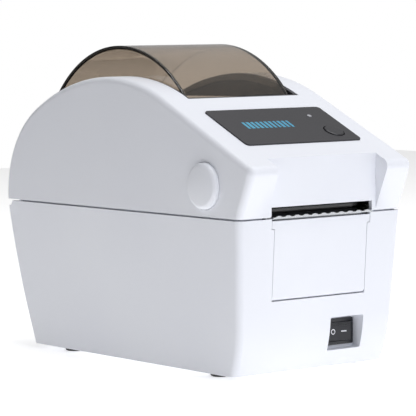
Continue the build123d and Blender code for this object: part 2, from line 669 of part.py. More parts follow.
with BuildPart() as idler_stud:
    with BuildSketch(Plane.YZ.offset(CHASSIS_X)):
        with Locations((idler_y, idler_z)):
            Circle(2.0)
    extrude(amount=GEAR_X + GEAR_W + 1.6 - CHASSIS_X)
    with BuildSketch(Plane.YZ.offset(GEAR_X + GEAR_W + 0.3)):
        with Locations((idler_y, idler_z)):
            Circle(3.4)
    extrude(amount=0.8)
save(idler_stud, "idler_stud")

with BuildPart() as idler_gear:
    with BuildSketch(Plane.YZ.offset(GEAR_X)):
        with Locations((idler_y, idler_z)):
            gear_sketch(idler_r, MODULE, IDLER_TEETH, 90 + IDLER_LEAN + step / 2)
            Circle(2.0 + RUN, mode=Mode.SUBTRACT)
            with PolarLocations(7.0, 5):
                Circle(1.6, mode=Mode.SUBTRACT)
    extrude(amount=GEAR_W)
save(idler_gear, "idler_gear")

with BuildPart() as feed_motor:
    with BuildSketch(Plane.YZ.offset(CHASSIS_X)):
        with Locations((motor_y, motor_z)):
            Circle(MOTOR_R)
    extrude(amount=-MOTOR_L)
    fillet(feed_motor.edges().filter_by(GeomType.CIRCLE).sort_by(Axis.X)[0], radius=1.5)
    with BuildSketch(Plane.YZ.offset(CHASSIS_X + CHASSIS_T + 0.4)):
        with Locations((motor_y, motor_z)):
            Circle(2.9)
    extrude(amount=-CHASSIS_T - 1.0)
    with BuildSketch(Plane.YZ.offset(CHASSIS_X + 5)):
        with Locations((motor_y, motor_z)):
            Circle(1.5 + RUN)
    extrude(amount=-MOTOR_L + 2, mode=Mode.SUBTRACT)
save(feed_motor, "feed_motor")

with BuildPart() as motor_shaft:
    with BuildSketch(Plane.YZ.offset(CHASSIS_X - 10)):
        with Locations((motor_y, motor_z)):
            Circle(1.5)
    extrude(amount=GEAR_X + GEAR_W + 0.6 - CHASSIS_X + 10)
save(motor_shaft, "motor_shaft")

motor_from_idler = MOTOR_LEAN - 90
with BuildPart() as motor_pinion:
    with BuildSketch(Plane.YZ.offset(GEAR_X)):
        with Locations((motor_y, motor_z)):
            gear_sketch(pinion_r, MODULE, PINION_TEETH, motor_from_idler + 180 + 180 / PINION_TEETH)
            Circle(1.5, mode=Mode.SUBTRACT)
    extrude(amount=GEAR_W)
save(motor_pinion, "motor_pinion")

TEAR_Z = 90.6            # upper face of the tear blade
TEAR_T = 0.8
TEAR_FRONT_Y = -108.8
TEAR_TOOTH = 6.5         # pitch of the teeth on the blade's upturned edge
TEAR_TEETH = 11
TEAR_RISE = 0.7
with BuildPart() as tear_bar:
    # Upright flange that screws to the chassis, and the toothed blade in the label slot.
    with Locations((0, -102.4, 79.5)):
        Box(2 * (CHASSIS_X + CHASSIS_T), 0.8, TEAR_Z - 79.5, align=(Align.CENTER, Align.CENTER, Align.MIN))
    with Locations((0, -102.4, 88.8)):
        for side in (-1, 1):
            with Locations((side * 41.5, 0, 0)):
                Box(8.8, 2, 5, align=(Align.CENTER, Align.CENTER, Align.MIN), mode=Mode.SUBTRACT)
    with BuildSketch(Plane.XY.offset(TEAR_Z - TEAR_T)):
        with Locations((0, TEAR_FRONT_Y)):
            Rectangle(73.2, 6.8, align=(Align.CENTER, Align.MIN))
    extrude(amount=TEAR_T)
    # Upturned front edge with blunt teeth.
    with BuildSketch(Plane.XZ.offset(-TEAR_FRONT_Y)):
        with Locations((0, TEAR_Z)):
            with GridLocations(TEAR_TOOTH, 1, TEAR_TEETH, 1):
                Polygon((-2.95, -0.2), (-0.9, TEAR_RISE), (0.9, TEAR_RISE), (2.95, -0.2), align=None)
    extrude(amount=-TEAR_T)
save(tear_bar, "tear_bar")

with BuildPart() as paper_guide:
    with BuildSketch(Plane.YZ):
        with BuildLine():
            Polyline((-84.4, 80), (-84.4, 86.2), (-86.0, 88.6), (-80.6, 88.6), (-80.6, 80), (-84.4, 80))
        make_face()
    extrude(amount=38.6, both=True)
    with Locations((-12, -82.4, 87.6)):
        Box(14.4, 3.0, 2.2, mode=Mode.SUBTRACT)
save(paper_guide, "paper_guide")

with BuildPart() as gap_sensor:
    with Locations((-12, -82.4, 86.5)):
        Box(14.2, 2.8, 1.9, align=(Align.CENTER, Align.CENTER, Align.MIN))
    with Locations((-15, -82.4, 88.4), (-9, -82.4, 88.4)):
        Cylinder(1.0, 0.4, align=(Align.CENTER, Align.CENTER, Align.MIN))
save(gap_sensor, "gap_sensor")

# ---------------------------------------------------------------- mains rocker switch
with BuildPart() as switch_body:
    with BuildSketch(Plane.XZ.offset(-SWITCH_FACE_Y)):
        with Locations((SWITCH_X, SWITCH_Z)):
            RectangleRounded(BEZEL_W, BEZEL_H, 0.8)
    extrude(amount=1.6)
    with BuildSketch(Plane.XZ.offset(-SWITCH_FACE_Y)):
        with Locations((SWITCH_X, SWITCH_Z)):
            Rectangle(19.0, 12.8)
    extrude(amount=-12.5)
    with BuildSketch(Plane.XZ.offset(-SWITCH_FACE_Y - 9.0)):
        with Locations((SWITCH_X, SWITCH_Z)):
            Rectangle(17.4, 11.0)
    extrude(amount=15, mode=Mode.SUBTRACT)
    # Spade terminals.
    with BuildSketch(Plane.XZ.offset(-SWITCH_FACE_Y - 12.5)):
        with Locations((SWITCH_X - 4.5, SWITCH_Z), (SWITCH_X + 4.5, SWITCH_Z)):
            Rectangle(0.8, 4.8)
    extrude(amount=-8.0)
    with BuildSketch(Plane.XY.offset(SWITCH_Z)):
        with Locations((SWITCH_X, SWITCH_FACE_Y + ROCKER_PIVOT)):
            Circle(1.2)
    extrude(amount=5.6, both=True)
save(switch_body, "switch_body")

# The rocker turns on an upright pin; its two faces meet in a shallow valley. Its left end is pressed in.
ROCK = 14.0
with BuildPart() as rocker:
    with BuildSketch(Plane.XY.offset(SWITCH_Z)):
        with Locations(Location((SWITCH_X, SWITCH_FACE_Y + ROCKER_PIVOT), -ROCK / 2)):
            Polygon(
                (-8.0, -6.0), (0, -5.0), (8.0, -6.0), (8.0, -4.4), (4.2, 2.6), (-4.2, 2.6), (-8.0, -4.4),
                align=None,
            )
            Circle(1.2 + RUN, mode=Mode.SUBTRACT)
    extrude(amount=5.3, both=True)
save(rocker, "rocker")

# ---------------------------------------------------------------- fold-down front door
def front_lean(z):
    """Depth of the housing's leaning front face at height z."""
    return FRONT_Y + (seam_low - z) * (-103.0 - FRONT_Y) / (seam_low - 30.0)


with BuildPart() as front_door:
    with BuildSketch(Plane.YZ):
        with BuildLine():
            Polyline(
                (front_lean(DOOR_EAR_TOP), DOOR_EAR_TOP),
                (front_lean(DOOR_HINGE_Z), DOOR_HINGE_Z),
                (DOOR_HINGE_Y, DOOR_HINGE_Z),
                (front_lean(DOOR_EAR_TOP) + DOOR_T, DOOR_EAR_TOP),
                (front_lean(DOOR_EAR_TOP), DOOR_EAR_TOP),
            )
        make_face()
    extrude(amount=DOOR_EAR_HALF_W, both=True)
    # The ears stand out only at the top of the door.
    for side in (-1, 1):
        with Locations((side * (DOOR_HALF_W + 5), -104, DOOR_TOP)):
            Box(10, 20, 60, align=(Align.CENTER, Align.CENTER, Align.MAX), mode=Mode.SUBTRACT)
    with BuildSketch(Plane.YZ):
        with Locations((DOOR_HINGE_Y, DOOR_HINGE_Z)):
            Circle(DOOR_HINGE_Z - DOOR_BOTTOM)
    extrude(amount=DOOR_HALF_W, both=True)
    with BuildSketch(Plane.YZ.offset(-HALF_W)):
        with Locations((DOOR_HINGE_Y, DOOR_HINGE_Z)):
            Circle(DOOR_ROD_R)
    extrude(amount=2 * HALF_W, mode=Mode.SUBTRACT)
save(front_door, "front_door")

with BuildPart() as door_rod:
    with BuildSketch(Plane.YZ.offset(-38.6)):
        with Locations((DOOR_HINGE_Y, DOOR_HINGE_Z)):
            Circle(DOOR_ROD_R)
    extrude(amount=77.2)
save(door_rod, "door_rod")


# ---------------------------------------------------------------- lid
def lid_side(z_low):
    """Side outline of the lid down to z_low: cheek, rounded nose, slope and domed rear."""
    cheek_run = (-116.9 - FRONT_Y) / (113.8 - seam_high)
    foot = (FRONT_Y + cheek_run * (z_low - seam_high), z_low)
    slope_foot = (-113.6, slope_z(-113.6))
    slope_head = (-40.0, slope_z(-40.0))
    with BuildLine() as outline:
        cheek = Line(foot, (-116.9, 113.8))
        TangentArc(cheek @ 1, slope_foot, tangent=cheek % 1)
        rise = Line(slope_foot, slope_head)
        crown = TangentArc(rise @ 1, (17.3, lid_top), tangent=rise % 1)
        back = TangentArc(crown @ 1, (88.4, 145.7), tangent=crown % 1)
        heel = TangentArc(back @ 1, (REAR_Y, 92.0), tangent=back % 1)
        Line(heel @ 1, (REAR_Y, z_low))
        Line((REAR_Y, z_low), foot)
    return outline.line


lid_inset = (lid_top - SEAM_Z) * tan(radians(LID_DRAFT))

with BuildPart() as lid_outer:
    with BuildSketch(Plane.YZ):
        add(lid_side(seam_high))
        make_face()
    extrude(amount=HALF_W, both=True)
    with BuildSketch(Plane.XZ):
        Polygon(*side_section(HALF_W, HALF_W - lid_inset, seam_high, lid_top + 1), align=None)
    extrude(amount=REAR_Y + 5, both=True, mode=Mode.INTERSECT)
    rims = [e for e in lid_outer.edges() if abs(e.center().X) > 55 and e.center().Z > seam_high + 1]
    fillet(rims, radius=TOP_EDGE_R)

with BuildPart() as lid_core:
    with BuildSketch(Plane.YZ):
        add(lid_side(seam_high - 12))
        make_face()
        offset(amount=-WALL)
    extrude(amount=HALF_W, both=True)
    with BuildSketch(Plane.XZ):
        inner_w = HALF_W - WALL
        Polygon(*side_section(inner_w, inner_w - lid_inset, seam_high - 9, lid_top + 1), align=None)
    extrude(amount=REAR_Y + 5, both=True, mode=Mode.INTERSECT)
    with Locations((0, BLOCK_Y + WALL, SEAM_Z + 20)):
        Box(2 * (BLOCK_HALF_W + WALL), 30, 80, align=(Align.CENTER, Align.MAX, Align.CENTER),
            mode=Mode.SUBTRACT)

# Bosses and ribs inside the lid, trimmed to its outside.
HEAD_TOP = 112.2             # upper face of the print head frame
BRACKET_X = 45.0             # outer face of the release brackets
HEAD_SCREWS = ((-34, -98), (34, -98), (-34, -76), (6, -76))
with BuildPart() as lid_bosses:
    with Locations(Plane.XY.offset(HEAD_TOP)):
        with Locations(*HEAD_SCREWS):
            Cylinder(3.2, 40, align=(Align.CENTER, Align.CENTER, Align.MIN))
    for side in (-1, 1):
        for rib_y in (-94.0, -61.4):
            with Locations((side * (BRACKET_X + 7), rib_y, 107.5)):
                Box(14, 1.8, 21)
    add(lid_outer.part, mode=Mode.INTERSECT)
    with BuildSketch(Plane.XY.offset(HEAD_TOP)):
        with Locations(*HEAD_SCREWS):
            Circle(1.3)
    extrude(amount=9, mode=Mode.SUBTRACT)

with BuildPart() as lid_shell:
    add(lid_outer.part)
    with Locations((0, BLOCK_Y, SEAM_Z + 20)):
        Box(2 * BLOCK_HALF_W, 30, 80, align=(Align.CENTER, Align.MAX, Align.CENTER), mode=Mode.SUBTRACT)
    add(lid_core.part, mode=Mode.SUBTRACT)
    add(lid_bosses.part)
    # Label exit slot through the nose block.
    with BuildSketch(Plane.XZ.offset(-BLOCK_Y - 6)):
        with Locations((0, seam_high - 2)):
            Rectangle(2 * SLOT_HALF_W, SLOT_TOP - seam_high + 2, align=(Align.CENTER, Align.MIN))
    extrude(amount=20, mode=Mode.SUBTRACT)
    # Media opening in the top.
    opening_mid = (OPENING_FRONT + OPENING_REAR) / 2
    with Locations((0, opening_mid, 112)):
        Box(2 * OPENING_HALF_W, OPENING_REAR - OPENING_FRONT, 80,
            align=(Align.CENTER, Align.CENTER, Align.MIN), mode=Mode.SUBTRACT)
    # Shallow bed for the control panel, with holes for the feed button and its lamp.
    with BuildSketch(slope_plane):
        with Locations((0, along_slope(PANEL_REAR) / 2)):
            RectangleRounded(2 * PANEL_HALF_W + 0.3, along_slope(PANEL_REAR) + 0.3, PANEL_CORNER_R + 0.15)
    extrude(amount=PANEL_PROUD - PANEL_T, mode=Mode.SUBTRACT)
    with BuildSketch(slope_plane):
        with Locations((FEED_X, along_slope(FEED_Y))):
            Circle(FEED_R + FEED_GAP)
        with Locations((LED_X, along_slope(LED_Y))):
            Circle(1.6)
    extrude(amount=-5, mode=Mode.SUBTRACT)
    # Round side holes for the release buttons.
    with BuildSketch(Plane.YZ.offset(-HALF_W - 2)):
        with Locations((RELEASE_Y, RELEASE_Z)):
            Circle(RELEASE_R + CLEAR)
    extrude(amount=8, mode=Mode.SUBTRACT)
    with BuildSketch(Plane.YZ.offset(HALF_W + 2)):
        with Locations((RELEASE_Y, RELEASE_Z)):
            Circle(RELEASE_R + CLEAR)
    extrude(amount=-8, mode=Mode.SUBTRACT)
    # Rear edge relieved around the housing's hinge knuckles, then the lid's own knuckles.
    for side in (-1, 1):
        with Locations((side * (HINGE_X[1] + KNUCKLE_W / 2), HINGE_Y, SEAM_Z + 3.2)):
            Box(KNUCKLE_W + 1.2, 12, 10, align=(Align.CENTER, Align.CENTER, Align.MAX), mode=Mode.SUBTRACT)
        with BuildSketch(Plane.YZ.offset(side * (HINGE_X[0] + KNUCKLE_W / 2))):
            with Locations((HINGE_Y, SEAM_Z)):
                Circle(KNUCKLE_R)
                Rectangle(2 * KNUCKLE_R, 9, align=(Align.CENTER, Align.MIN))
        extrude(amount=KNUCKLE_W / 2, both=True)
    with BuildSketch(Plane.YZ.offset(-hinge_reach)):
        with Locations((HINGE_Y, SEAM_Z)):
            Circle(HINGE_PIN_R + RUN)
    extrude(amount=2 * hinge_reach, mode=Mode.SUBTRACT)
save(lid_shell, "lid_shell")

with BuildPart() as hinge_pins:
    for side in (-1, 1):
        with BuildSketch(Plane.YZ.offset(side * HINGE_X[0])):
            with Locations((HINGE_Y, SEAM_Z)):
                Circle(HINGE_PIN_R)
        extrude(amount=side * (HINGE_X[1] + KNUCKLE_W - HINGE_X[0]))
save(hinge_pins, "hinge_pins")

# ---------------------------------------------------------------- window and lid liner
window_front = OPENING_FRONT + 1.8 + 0.4
window_rear = OPENING_REAR - 1.8 - 0.4
with BuildPart() as window:
    with BuildSketch(Plane.YZ):
        with Locations((WINDOW_Y, WINDOW_Z)):
            Circle(WINDOW_R)
        with Locations(((window_front + window_rear) / 2, 150)):
            Rectangle(window_rear - window_front, 90, mode=Mode.INTERSECT)
        with BuildSketch(mode=Mode.SUBTRACT):
            add(lid_side(seam_high))
            make_face()
            offset(amount=-4.0)
    extrude(amount=WINDOW_HALF_W, both=True)
    with BuildSketch(Plane.YZ):
        with Locations((WINDOW_Y, WINDOW_Z)):
            Circle(WINDOW_R - WINDOW_T)
        with Locations(((window_front + window_rear) / 2, 140)):
            Rectangle(window_rear - window_front + 4, 100, mode=Mode.INTERSECT)
    extrude(amount=WINDOW_HALF_W - WINDOW_T, both=True, mode=Mode.SUBTRACT)
save(window, "window")

LINER_T = 1.8
LINER_HALF_W = OPENING_HALF_W - 0.2
with BuildPart() as lid_liner:
    with BuildSketch(Plane.YZ):
        add(lid_side(seam_high))
        make_face()
        offset(amount=-0.3)
        with Locations(((OPENING_FRONT + OPENING_REAR) / 2, 130)):
            Rectangle(OPENING_REAR - OPENING_FRONT - 0.4, 77, mode=Mode.INTERSECT)
    extrude(amount=LINER_HALF_W, both=True)
    liner_depth = OPENING_REAR - OPENING_FRONT - 0.4
    with Locations((0, (OPENING_FRONT + OPENING_REAR) / 2, 130)):
        Box(2 * (LINER_HALF_W - LINER_T), liner_depth - 2 * LINER_T, 120, mode=Mode.SUBTRACT)
save(lid_liner, "lid_liner")

# ---------------------------------------------------------------- control panel, feed button and lamp
with BuildPart() as control_panel:
    with BuildSketch(slope_plane.offset(PANEL_PROUD - PANEL_T)):
        with Locations((0, along_slope(PANEL_REAR) / 2)):
            RectangleRounded(2 * PANEL_HALF_W, along_slope(PANEL_REAR), PANEL_CORNER_R)
        with Locations((FEED_X, along_slope(FEED_Y))):
            Circle(FEED_R + FEED_GAP, mode=Mode.SUBTRACT)
        with Locations((LED_X, along_slope(LED_Y))):
            Circle(1.45, mode=Mode.SUBTRACT)
    extrude(amount=PANEL_T)
save(control_panel, "control_panel")

BOARD_DEPTH = 10.5
with BuildPart() as feed_button:
    with BuildSketch(slope_plane.offset(-2.6)):
        with Locations((FEED_X, along_slope(FEED_Y))):
            Circle(FEED_R)
    extrude(amount=2.6 + FEED_PROUD)
    fillet(feed_button.edges().filter_by(GeomType.CIRCLE).sort_by(Axis.Z)[-1], radius=0.9)
    with BuildSketch(slope_plane.offset(-3.6)):
        with Locations((FEED_X, along_slope(FEED_Y))):
            Circle(FEED_R + 1.6)
    extrude(amount=0.95)
    with BuildSketch(slope_plane.offset(-5.0)):
        with Locations((FEED_X, along_slope(FEED_Y))):
            Circle(2.0)
    extrude(amount=3.0)
save(feed_button, "feed_button")

with BuildPart() as panel_board:
    with BuildSketch(slope_plane.offset(-BOARD_DEPTH - 1.2)):
        with Locations((27, along_slope(FEED_Y) + 8)):
            Rectangle(26, 34)
    extrude(amount=1.2)
save(panel_board, "panel_board")

with BuildPart() as feed_switch:
    with BuildSketch(slope_plane.offset(-BOARD_DEPTH)):
        with Locations((FEED_X, along_slope(FEED_Y))):
            Rectangle(6, 6)
    extrude(amount=3.5)
    with BuildSketch(slope_plane.offset(-BOARD_DEPTH + 3.5)):
        with Locations((FEED_X, along_slope(FEED_Y))):
            Circle(1.7)
    extrude(amount=0.8)
save(feed_switch, "feed_switch")

with BuildPart() as lamp_pipe:
    with BuildSketch(slope_plane.offset(-BOARD_DEPTH + 0.1)):
        with Locations((LED_X, along_slope(LED_Y))):
            Circle(1.4)
    extrude(amount=BOARD_DEPTH + PANEL_PROUD + 0.1)
save(lamp_pipe, "lamp_pipe")

# ---------------------------------------------------------------- print head in the lid
HEAD_LOW = PLATEN_Z + PLATEN_R + 0.3
HEAD_PIVOT_Y = -74.0
HEAD_PIVOT_Z = 100.0
HEAD_HALF_W = 36.0
EAR_X = 38.4
with BuildPart() as head_frame:
    with Locations((0, -88.0, HEAD_TOP)):
        Box(80, 34, 1.2, align=(Align.CENTER, Align.CENTER, Align.MAX))
    for side in (-1, 1):
        with Locations((side * (EAR_X + 0.8), -76, 96.0)):
            Box(1.6, 10, HEAD_TOP - 96.0, align=(Align.CENTER, Align.CENTER, Align.MIN))
    with BuildSketch(Plane.YZ.offset(-HALF_W)):
        with Locations((HEAD_PIVOT_Y, HEAD_PIVOT_Z)):
            Circle(1.5 + RUN)
    extrude(amount=2 * HALF_W, mode=Mode.SUBTRACT)
    with BuildSketch(Plane.XY.offset(HEAD_TOP - 3)):
        with Locations(*HEAD_SCREWS):
            Circle(1.7)
    extrude(amount=5, mode=Mode.SUBTRACT)
save(head_frame, "head_frame")

with BuildPart() as head_screws:
    with Locations(Plane.XY.offset(HEAD_TOP - 1.2)):
        with Locations(*HEAD_SCREWS):
            Cylinder(2.7, 1.6, align=(Align.CENTER, Align.CENTER, Align.MAX))
    with Locations(Plane.XY.offset(HEAD_TOP - 1.2)):
        with Locations(*HEAD_SCREWS):
            Cylinder(1.3, 7.0, align=(Align.CENTER, Align.CENTER, Align.MIN))
save(head_screws, "head_screws")

with BuildPart() as head_heatsink:
    with Locations((0, -86.5, HEAD_LOW + 2.6)):
        Box(2 * HEAD_HALF_W, 27, 6.6, align=(Align.CENTER, Align.CENTER, Align.MIN))
    # Lengthwise cooling grooves in its upper face.
    for k in range(5):
        with Locations((0, -97.5 + k * 4.4, HEAD_LOW + 9.2)):
            Box(2 * HEAD_HALF_W, 1.6, 2.2, align=(Align.CENTER, Align.CENTER, Align.MAX),
                mode=Mode.SUBTRACT)
    with BuildSketch(Plane.YZ.offset(-EAR_X - 1.5)):
        with Locations((HEAD_PIVOT_Y, HEAD_PIVOT_Z)):
            Circle(1.5)
    extrude(amount=2 * EAR_X + 3.0)
save(head_heatsink, "head_heatsink")

with BuildPart() as thermal_head:
    with Locations((0, -93.0, HEAD_LOW + 0.8)):
        Box(68, 13, 1.8, align=(Align.CENTER, Align.CENTER, Align.MIN))
    with Locations((0, -94.0, HEAD_LOW)):
        Box(64, 6.0, 0.8, align=(Align.CENTER, Align.CENTER, Align.MIN))
save(thermal_head, "thermal_head")


def coil(start, direction, radius, length, turns, wire):
    """A compression spring: a helix of round wire from start along direction."""
    rise = length - 2 * wire
    first = Vector(*start) + Vector(*direction) * wire
    with BuildPart() as spring:
        with BuildLine():
            path = Helix(pitch=rise / turns, height=rise, radius=radius, center=first, direction=direction)
        with BuildSketch(Plane(origin=path @ 0, z_dir=path % 0)):
            Circle(wire / 2)
        sweep(path=path)
    return spring


head_spring_low = HEAD_LOW + 9.2
with BuildPart() as head_springs:
    for x in (-20, 20):
        spring = coil((x, -82.5, head_spring_low), (0, 0, 1), 2.6, HEAD_TOP - 1.2 - head_spring_low, 5, 0.7)
        add(spring.part)
save(head_springs, "head_springs")

# ---------------------------------------------------------------- lid release buttons, latches and springs
button_face = HALF_W - 0.3 + RELEASE_PROUD
BUTTON_BACK = 52.0
for side, hand in ((-1, "left"), (1, "right")):
    face_origin = (side * BUTTON_BACK, RELEASE_Y, RELEASE_Z)
    face_plane = Plane(origin=face_origin, x_dir=(0, 1, 0), z_dir=(side, 0, 0))
    skirt = button_face - BUTTON_BACK
    with BuildPart() as release_button:
        with BuildSketch(face_plane.offset(3.4)):
            Circle(RELEASE_R)
        extrude(amount=skirt - 3.4)
        rim = release_button.edges().filter_by(GeomType.CIRCLE).group_by(Axis.X)[0 if side < 0 else -1]
        fillet(rim, radius=3.2)
        with BuildSketch(face_plane.offset(3.0)):
            Circle(RELEASE_R + 1.6)
        extrude(amount=1.6)
        with BuildSketch(face_plane.offset(1.0)):
            Circle(RELEASE_R - 2.2)
        extrude(amount=skirt - 3.4, mode=Mode.SUBTRACT)
        with BuildSketch(face_plane.offset(3.0)):
            Circle(3.4)
        extrude(amount=skirt - 5.0)
    save(release_button, f"release_button_{hand}")

    # The latch arm hangs from the button's flange; its nose faces the catch in the housing.
    with BuildPart() as latch_hook:
        with Locations((side * 54.1, RELEASE_Y, 81.2)):
            Box(1.8, 9, 16.0, align=(Align.CENTER, Align.CENTER, Align.MIN))
        with Locations((side * 55.3, RELEASE_Y, 81.2)):
            Box(0.6, 9, 1.4, align=(Align.CENTER, Align.CENTER, Align.MIN))
    save(latch_hook, f"latch_hook_{hand}")

    bracket_origin = (side * BRACKET_X, RELEASE_Y, RELEASE_Z)
    bracket_plane = Plane(origin=bracket_origin, x_dir=(0, 1, 0), z_dir=(side, 0, 0))
    with BuildPart() as release_bracket:
        with Locations((side * (BRACKET_X - 0.9), RELEASE_Y, RELEASE_Z)):
            Box(1.8, 35.2, 21)
        with BuildSketch(bracket_plane):
            Circle(3.0)
        extrude(amount=2.4)
    save(release_bracket, f"release_bracket_{hand}")

    release_spring = coil(
        (side * BRACKET_X, RELEASE_Y, RELEASE_Z), (side, 0, 0), 5.6, BUTTON_BACK + 9.3 - BRACKET_X, 6, 0.9
    )
    save(release_spring, f"release_spring_{hand}")
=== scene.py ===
"""Looks of a desktop thermal label printer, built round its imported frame. Lengths are in metres."""

import json
import math

import bmesh
import bpy
from mathutils import Euler, Matrix, Vector

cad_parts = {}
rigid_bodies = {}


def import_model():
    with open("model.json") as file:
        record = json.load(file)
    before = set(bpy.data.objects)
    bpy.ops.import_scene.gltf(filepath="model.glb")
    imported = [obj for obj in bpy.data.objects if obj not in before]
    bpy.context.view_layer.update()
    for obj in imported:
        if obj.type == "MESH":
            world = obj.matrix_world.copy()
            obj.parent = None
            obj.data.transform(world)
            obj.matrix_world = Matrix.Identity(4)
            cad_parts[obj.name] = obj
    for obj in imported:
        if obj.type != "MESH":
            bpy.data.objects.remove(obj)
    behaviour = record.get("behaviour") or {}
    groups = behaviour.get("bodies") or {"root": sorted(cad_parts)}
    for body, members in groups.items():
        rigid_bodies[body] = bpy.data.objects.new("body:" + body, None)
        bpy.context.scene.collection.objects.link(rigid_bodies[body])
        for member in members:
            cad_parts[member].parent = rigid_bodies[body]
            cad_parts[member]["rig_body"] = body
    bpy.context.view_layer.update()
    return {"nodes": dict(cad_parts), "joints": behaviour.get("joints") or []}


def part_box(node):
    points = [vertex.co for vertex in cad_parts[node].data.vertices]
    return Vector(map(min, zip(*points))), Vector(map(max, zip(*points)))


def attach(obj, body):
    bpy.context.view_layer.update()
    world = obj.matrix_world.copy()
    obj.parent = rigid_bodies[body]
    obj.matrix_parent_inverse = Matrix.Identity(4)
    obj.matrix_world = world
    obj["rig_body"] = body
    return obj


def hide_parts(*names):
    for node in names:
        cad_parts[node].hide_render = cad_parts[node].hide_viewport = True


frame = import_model()
MM = 0.001

# ------------------------------------------------------------------ base plate
# The tray that closes the printer from below: moulded ABS in the housing's white.
# Its grained face scatters light, and every edge has the small round that a mould leaves.


def linear(hex_code):
    """Turns an sRGB hex colour into the linear RGBA that a shader takes."""
    shares = [int(hex_code[i : i + 2], 16) / 255 for i in (1, 3, 5)]
    return (*[s / 12.92 if s <= 0.04045 else ((s + 0.055) / 1.055) ** 2.4 for s in shares], 1.0)


def add_node(tree, kind, inputs=None, **settings):
    """Adds one node. settings are its own properties, inputs are values or the sockets that feed it."""
    made = tree.nodes.new(kind)
    for name, value in settings.items():
        setattr(made, name, value)
    for name, value in (inputs or {}).items():
        if isinstance(value, bpy.types.NodeSocket):
            tree.links.new(value, made.inputs[name])
        else:
            made.inputs[name].default_value = value
    return made


def open_material(name):
    """An empty node material, its tree and its Object coordinates."""
    material = bpy.data.materials.new(name)
    material.use_nodes = True
    tree = material.node_tree
    tree.nodes.clear()
    return material, tree, add_node(tree, "ShaderNodeTexCoord").outputs["Object"]


def close_material(tree, shader):
    """Sends the shader to the material's surface."""
    add_node(tree, "ShaderNodeOutputMaterial", {"Surface": shader.outputs[0]})


def moulded_plastic(name, colour, flow_colour, roughness, grain=0.7 * MM, relief=0.10, ior=1.53):
    """Injection-moulded plastic: an eroded mould grain in the bump, and faint flow marks in the colour.
    The real grain is about 0.1 mm; it is drawn coarser so that it shows."""
    material, tree, place = open_material(name)
    texture = add_node(tree, "ShaderNodeTexNoise", {"Vector": place, "Scale": 1 / grain, "Detail": 3.0})
    flow = add_node(
        tree, "ShaderNodeTexNoise", {"Vector": place, "Scale": 14.0, "Detail": 2.0, "Roughness": 0.4}
    )
    blend = add_node(
        tree, "ShaderNodeMapRange", {"Value": flow.outputs["Fac"], "From Min": 0.3, "From Max": 0.7}
    )
    tint = add_node(
        tree, "ShaderNodeMix",
        {0: blend.outputs[0], 6: linear(colour), 7: linear(flow_colour)}, data_type="RGBA",
    )
    gloss = add_node(
        tree, "ShaderNodeMapRange",
        {"Value": texture.outputs["Fac"], "To Min": roughness - 0.05, "To Max": roughness + 0.05},
    )
    relief_map = add_node(
        tree, "ShaderNodeBump",
        {"Height": texture.outputs["Fac"], "Strength": relief, "Distance": 0.05 * MM},
    )
    shader = add_node(
        tree, "ShaderNodeBsdfPrincipled",
        {
            "Base Color": tint.outputs[2], "Roughness": gloss.outputs[0], "IOR": ior,
            "Normal": relief_map.outputs["Normal"],
        },
    )
    close_material(tree, shader)
    return material


SMOOTH_TO = math.radians(38)    # faces that meet at less than this shade as one surface


def placed(mesh, name, material, *nodes, body=None, slot=None):
    """Links a mesh as a piece with its finish. It stands for the CAD nodes and rides where they ride,
    or on body."""
    mesh.materials.clear()
    mesh.materials.append(material)
    mesh.polygons.foreach_set("use_smooth", [True] * len(mesh.polygons))
    mesh.set_sharp_from_angle(angle=SMOOTH_TO)
    piece = bpy.data.objects.new(name, mesh)
    bpy.context.scene.collection.objects.link(piece)
    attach(piece, body or frame["nodes"][nodes[0]]["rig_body"])
    if nodes:
        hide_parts(*nodes)
    return piece


def finished(shape, name, material, *nodes, body=None, slot=None):
    """Turns a closed bmesh into a piece."""
    bmesh.ops.recalc_face_normals(shape, faces=shape.faces)
    mesh = bpy.data.meshes.new(name)
    shape.to_mesh(mesh)
    shape.free()
    return placed(mesh, name, material, *nodes, body=body, slot=slot)


def keep_flats_flat(mesh):
    """Weighs each corner's normal by the area of its faces, so that a round doesn't shade the flat
    beside it."""
    meeting = [[] for _ in mesh.vertices]
    for face in mesh.polygons:
        for corner in face.vertices:
            meeting[corner].append((face.normal.copy(), face.area))
    normals = []
    for face in mesh.polygons:
        for corner in face.vertices:
            near = [n * area for n, area in meeting[corner] if n.dot(face.normal) > math.cos(SMOOTH_TO)]
            normals.append(sum(near, Vector()).normalized() if near else face.normal.copy())
    mesh.normals_split_custom_set(normals)


WELD = 0.002 * MM                   # points this close are one
FLAT_TO = math.radians(1)           # faces that meet at less than this are one flat
SHARP_FROM = math.radians(28)       # edges that turn more than this get their round


def eased(node, name, radius, material):
    """A welded copy of a CAD piece with its sharp edges rounded, as on the real one. It replaces
    the node."""
    shape = bmesh.new()
    shape.from_mesh(frame["nodes"][node].data)
    bmesh.ops.remove_doubles(shape, verts=shape.verts, dist=WELD)
    bmesh.ops.dissolve_limit(shape, angle_limit=FLAT_TO, verts=shape.verts, edges=shape.edges)
    sharp = [e for e in shape.edges if len(e.link_faces) == 2 and e.calc_face_angle(0) > SHARP_FROM]
    bmesh.ops.bevel(
        shape, geom=sharp, offset=radius, segments=2, profile=0.5, affect="EDGES", clamp_overlap=True
    )
    piece = finished(shape, name, material, node)
    keep_flats_flat(piece.data)
    return piece


white_abs = moulded_plastic("White_ABS_moulded", "#EEF0F6", "#EBEDF4", 0.42)
eased("bottom_plate", "base_tray", 0.3 * MM, white_abs)

# ------------------------------------------------------------------ rubber feet
# Four moulded nitrile feet in round pads, with rings in the sole that grip the table.
# They are matt and nearly black, with a dusty bloom in random patches.


ON_AXIS = 1e-7    # a smaller radius is one point on the axis


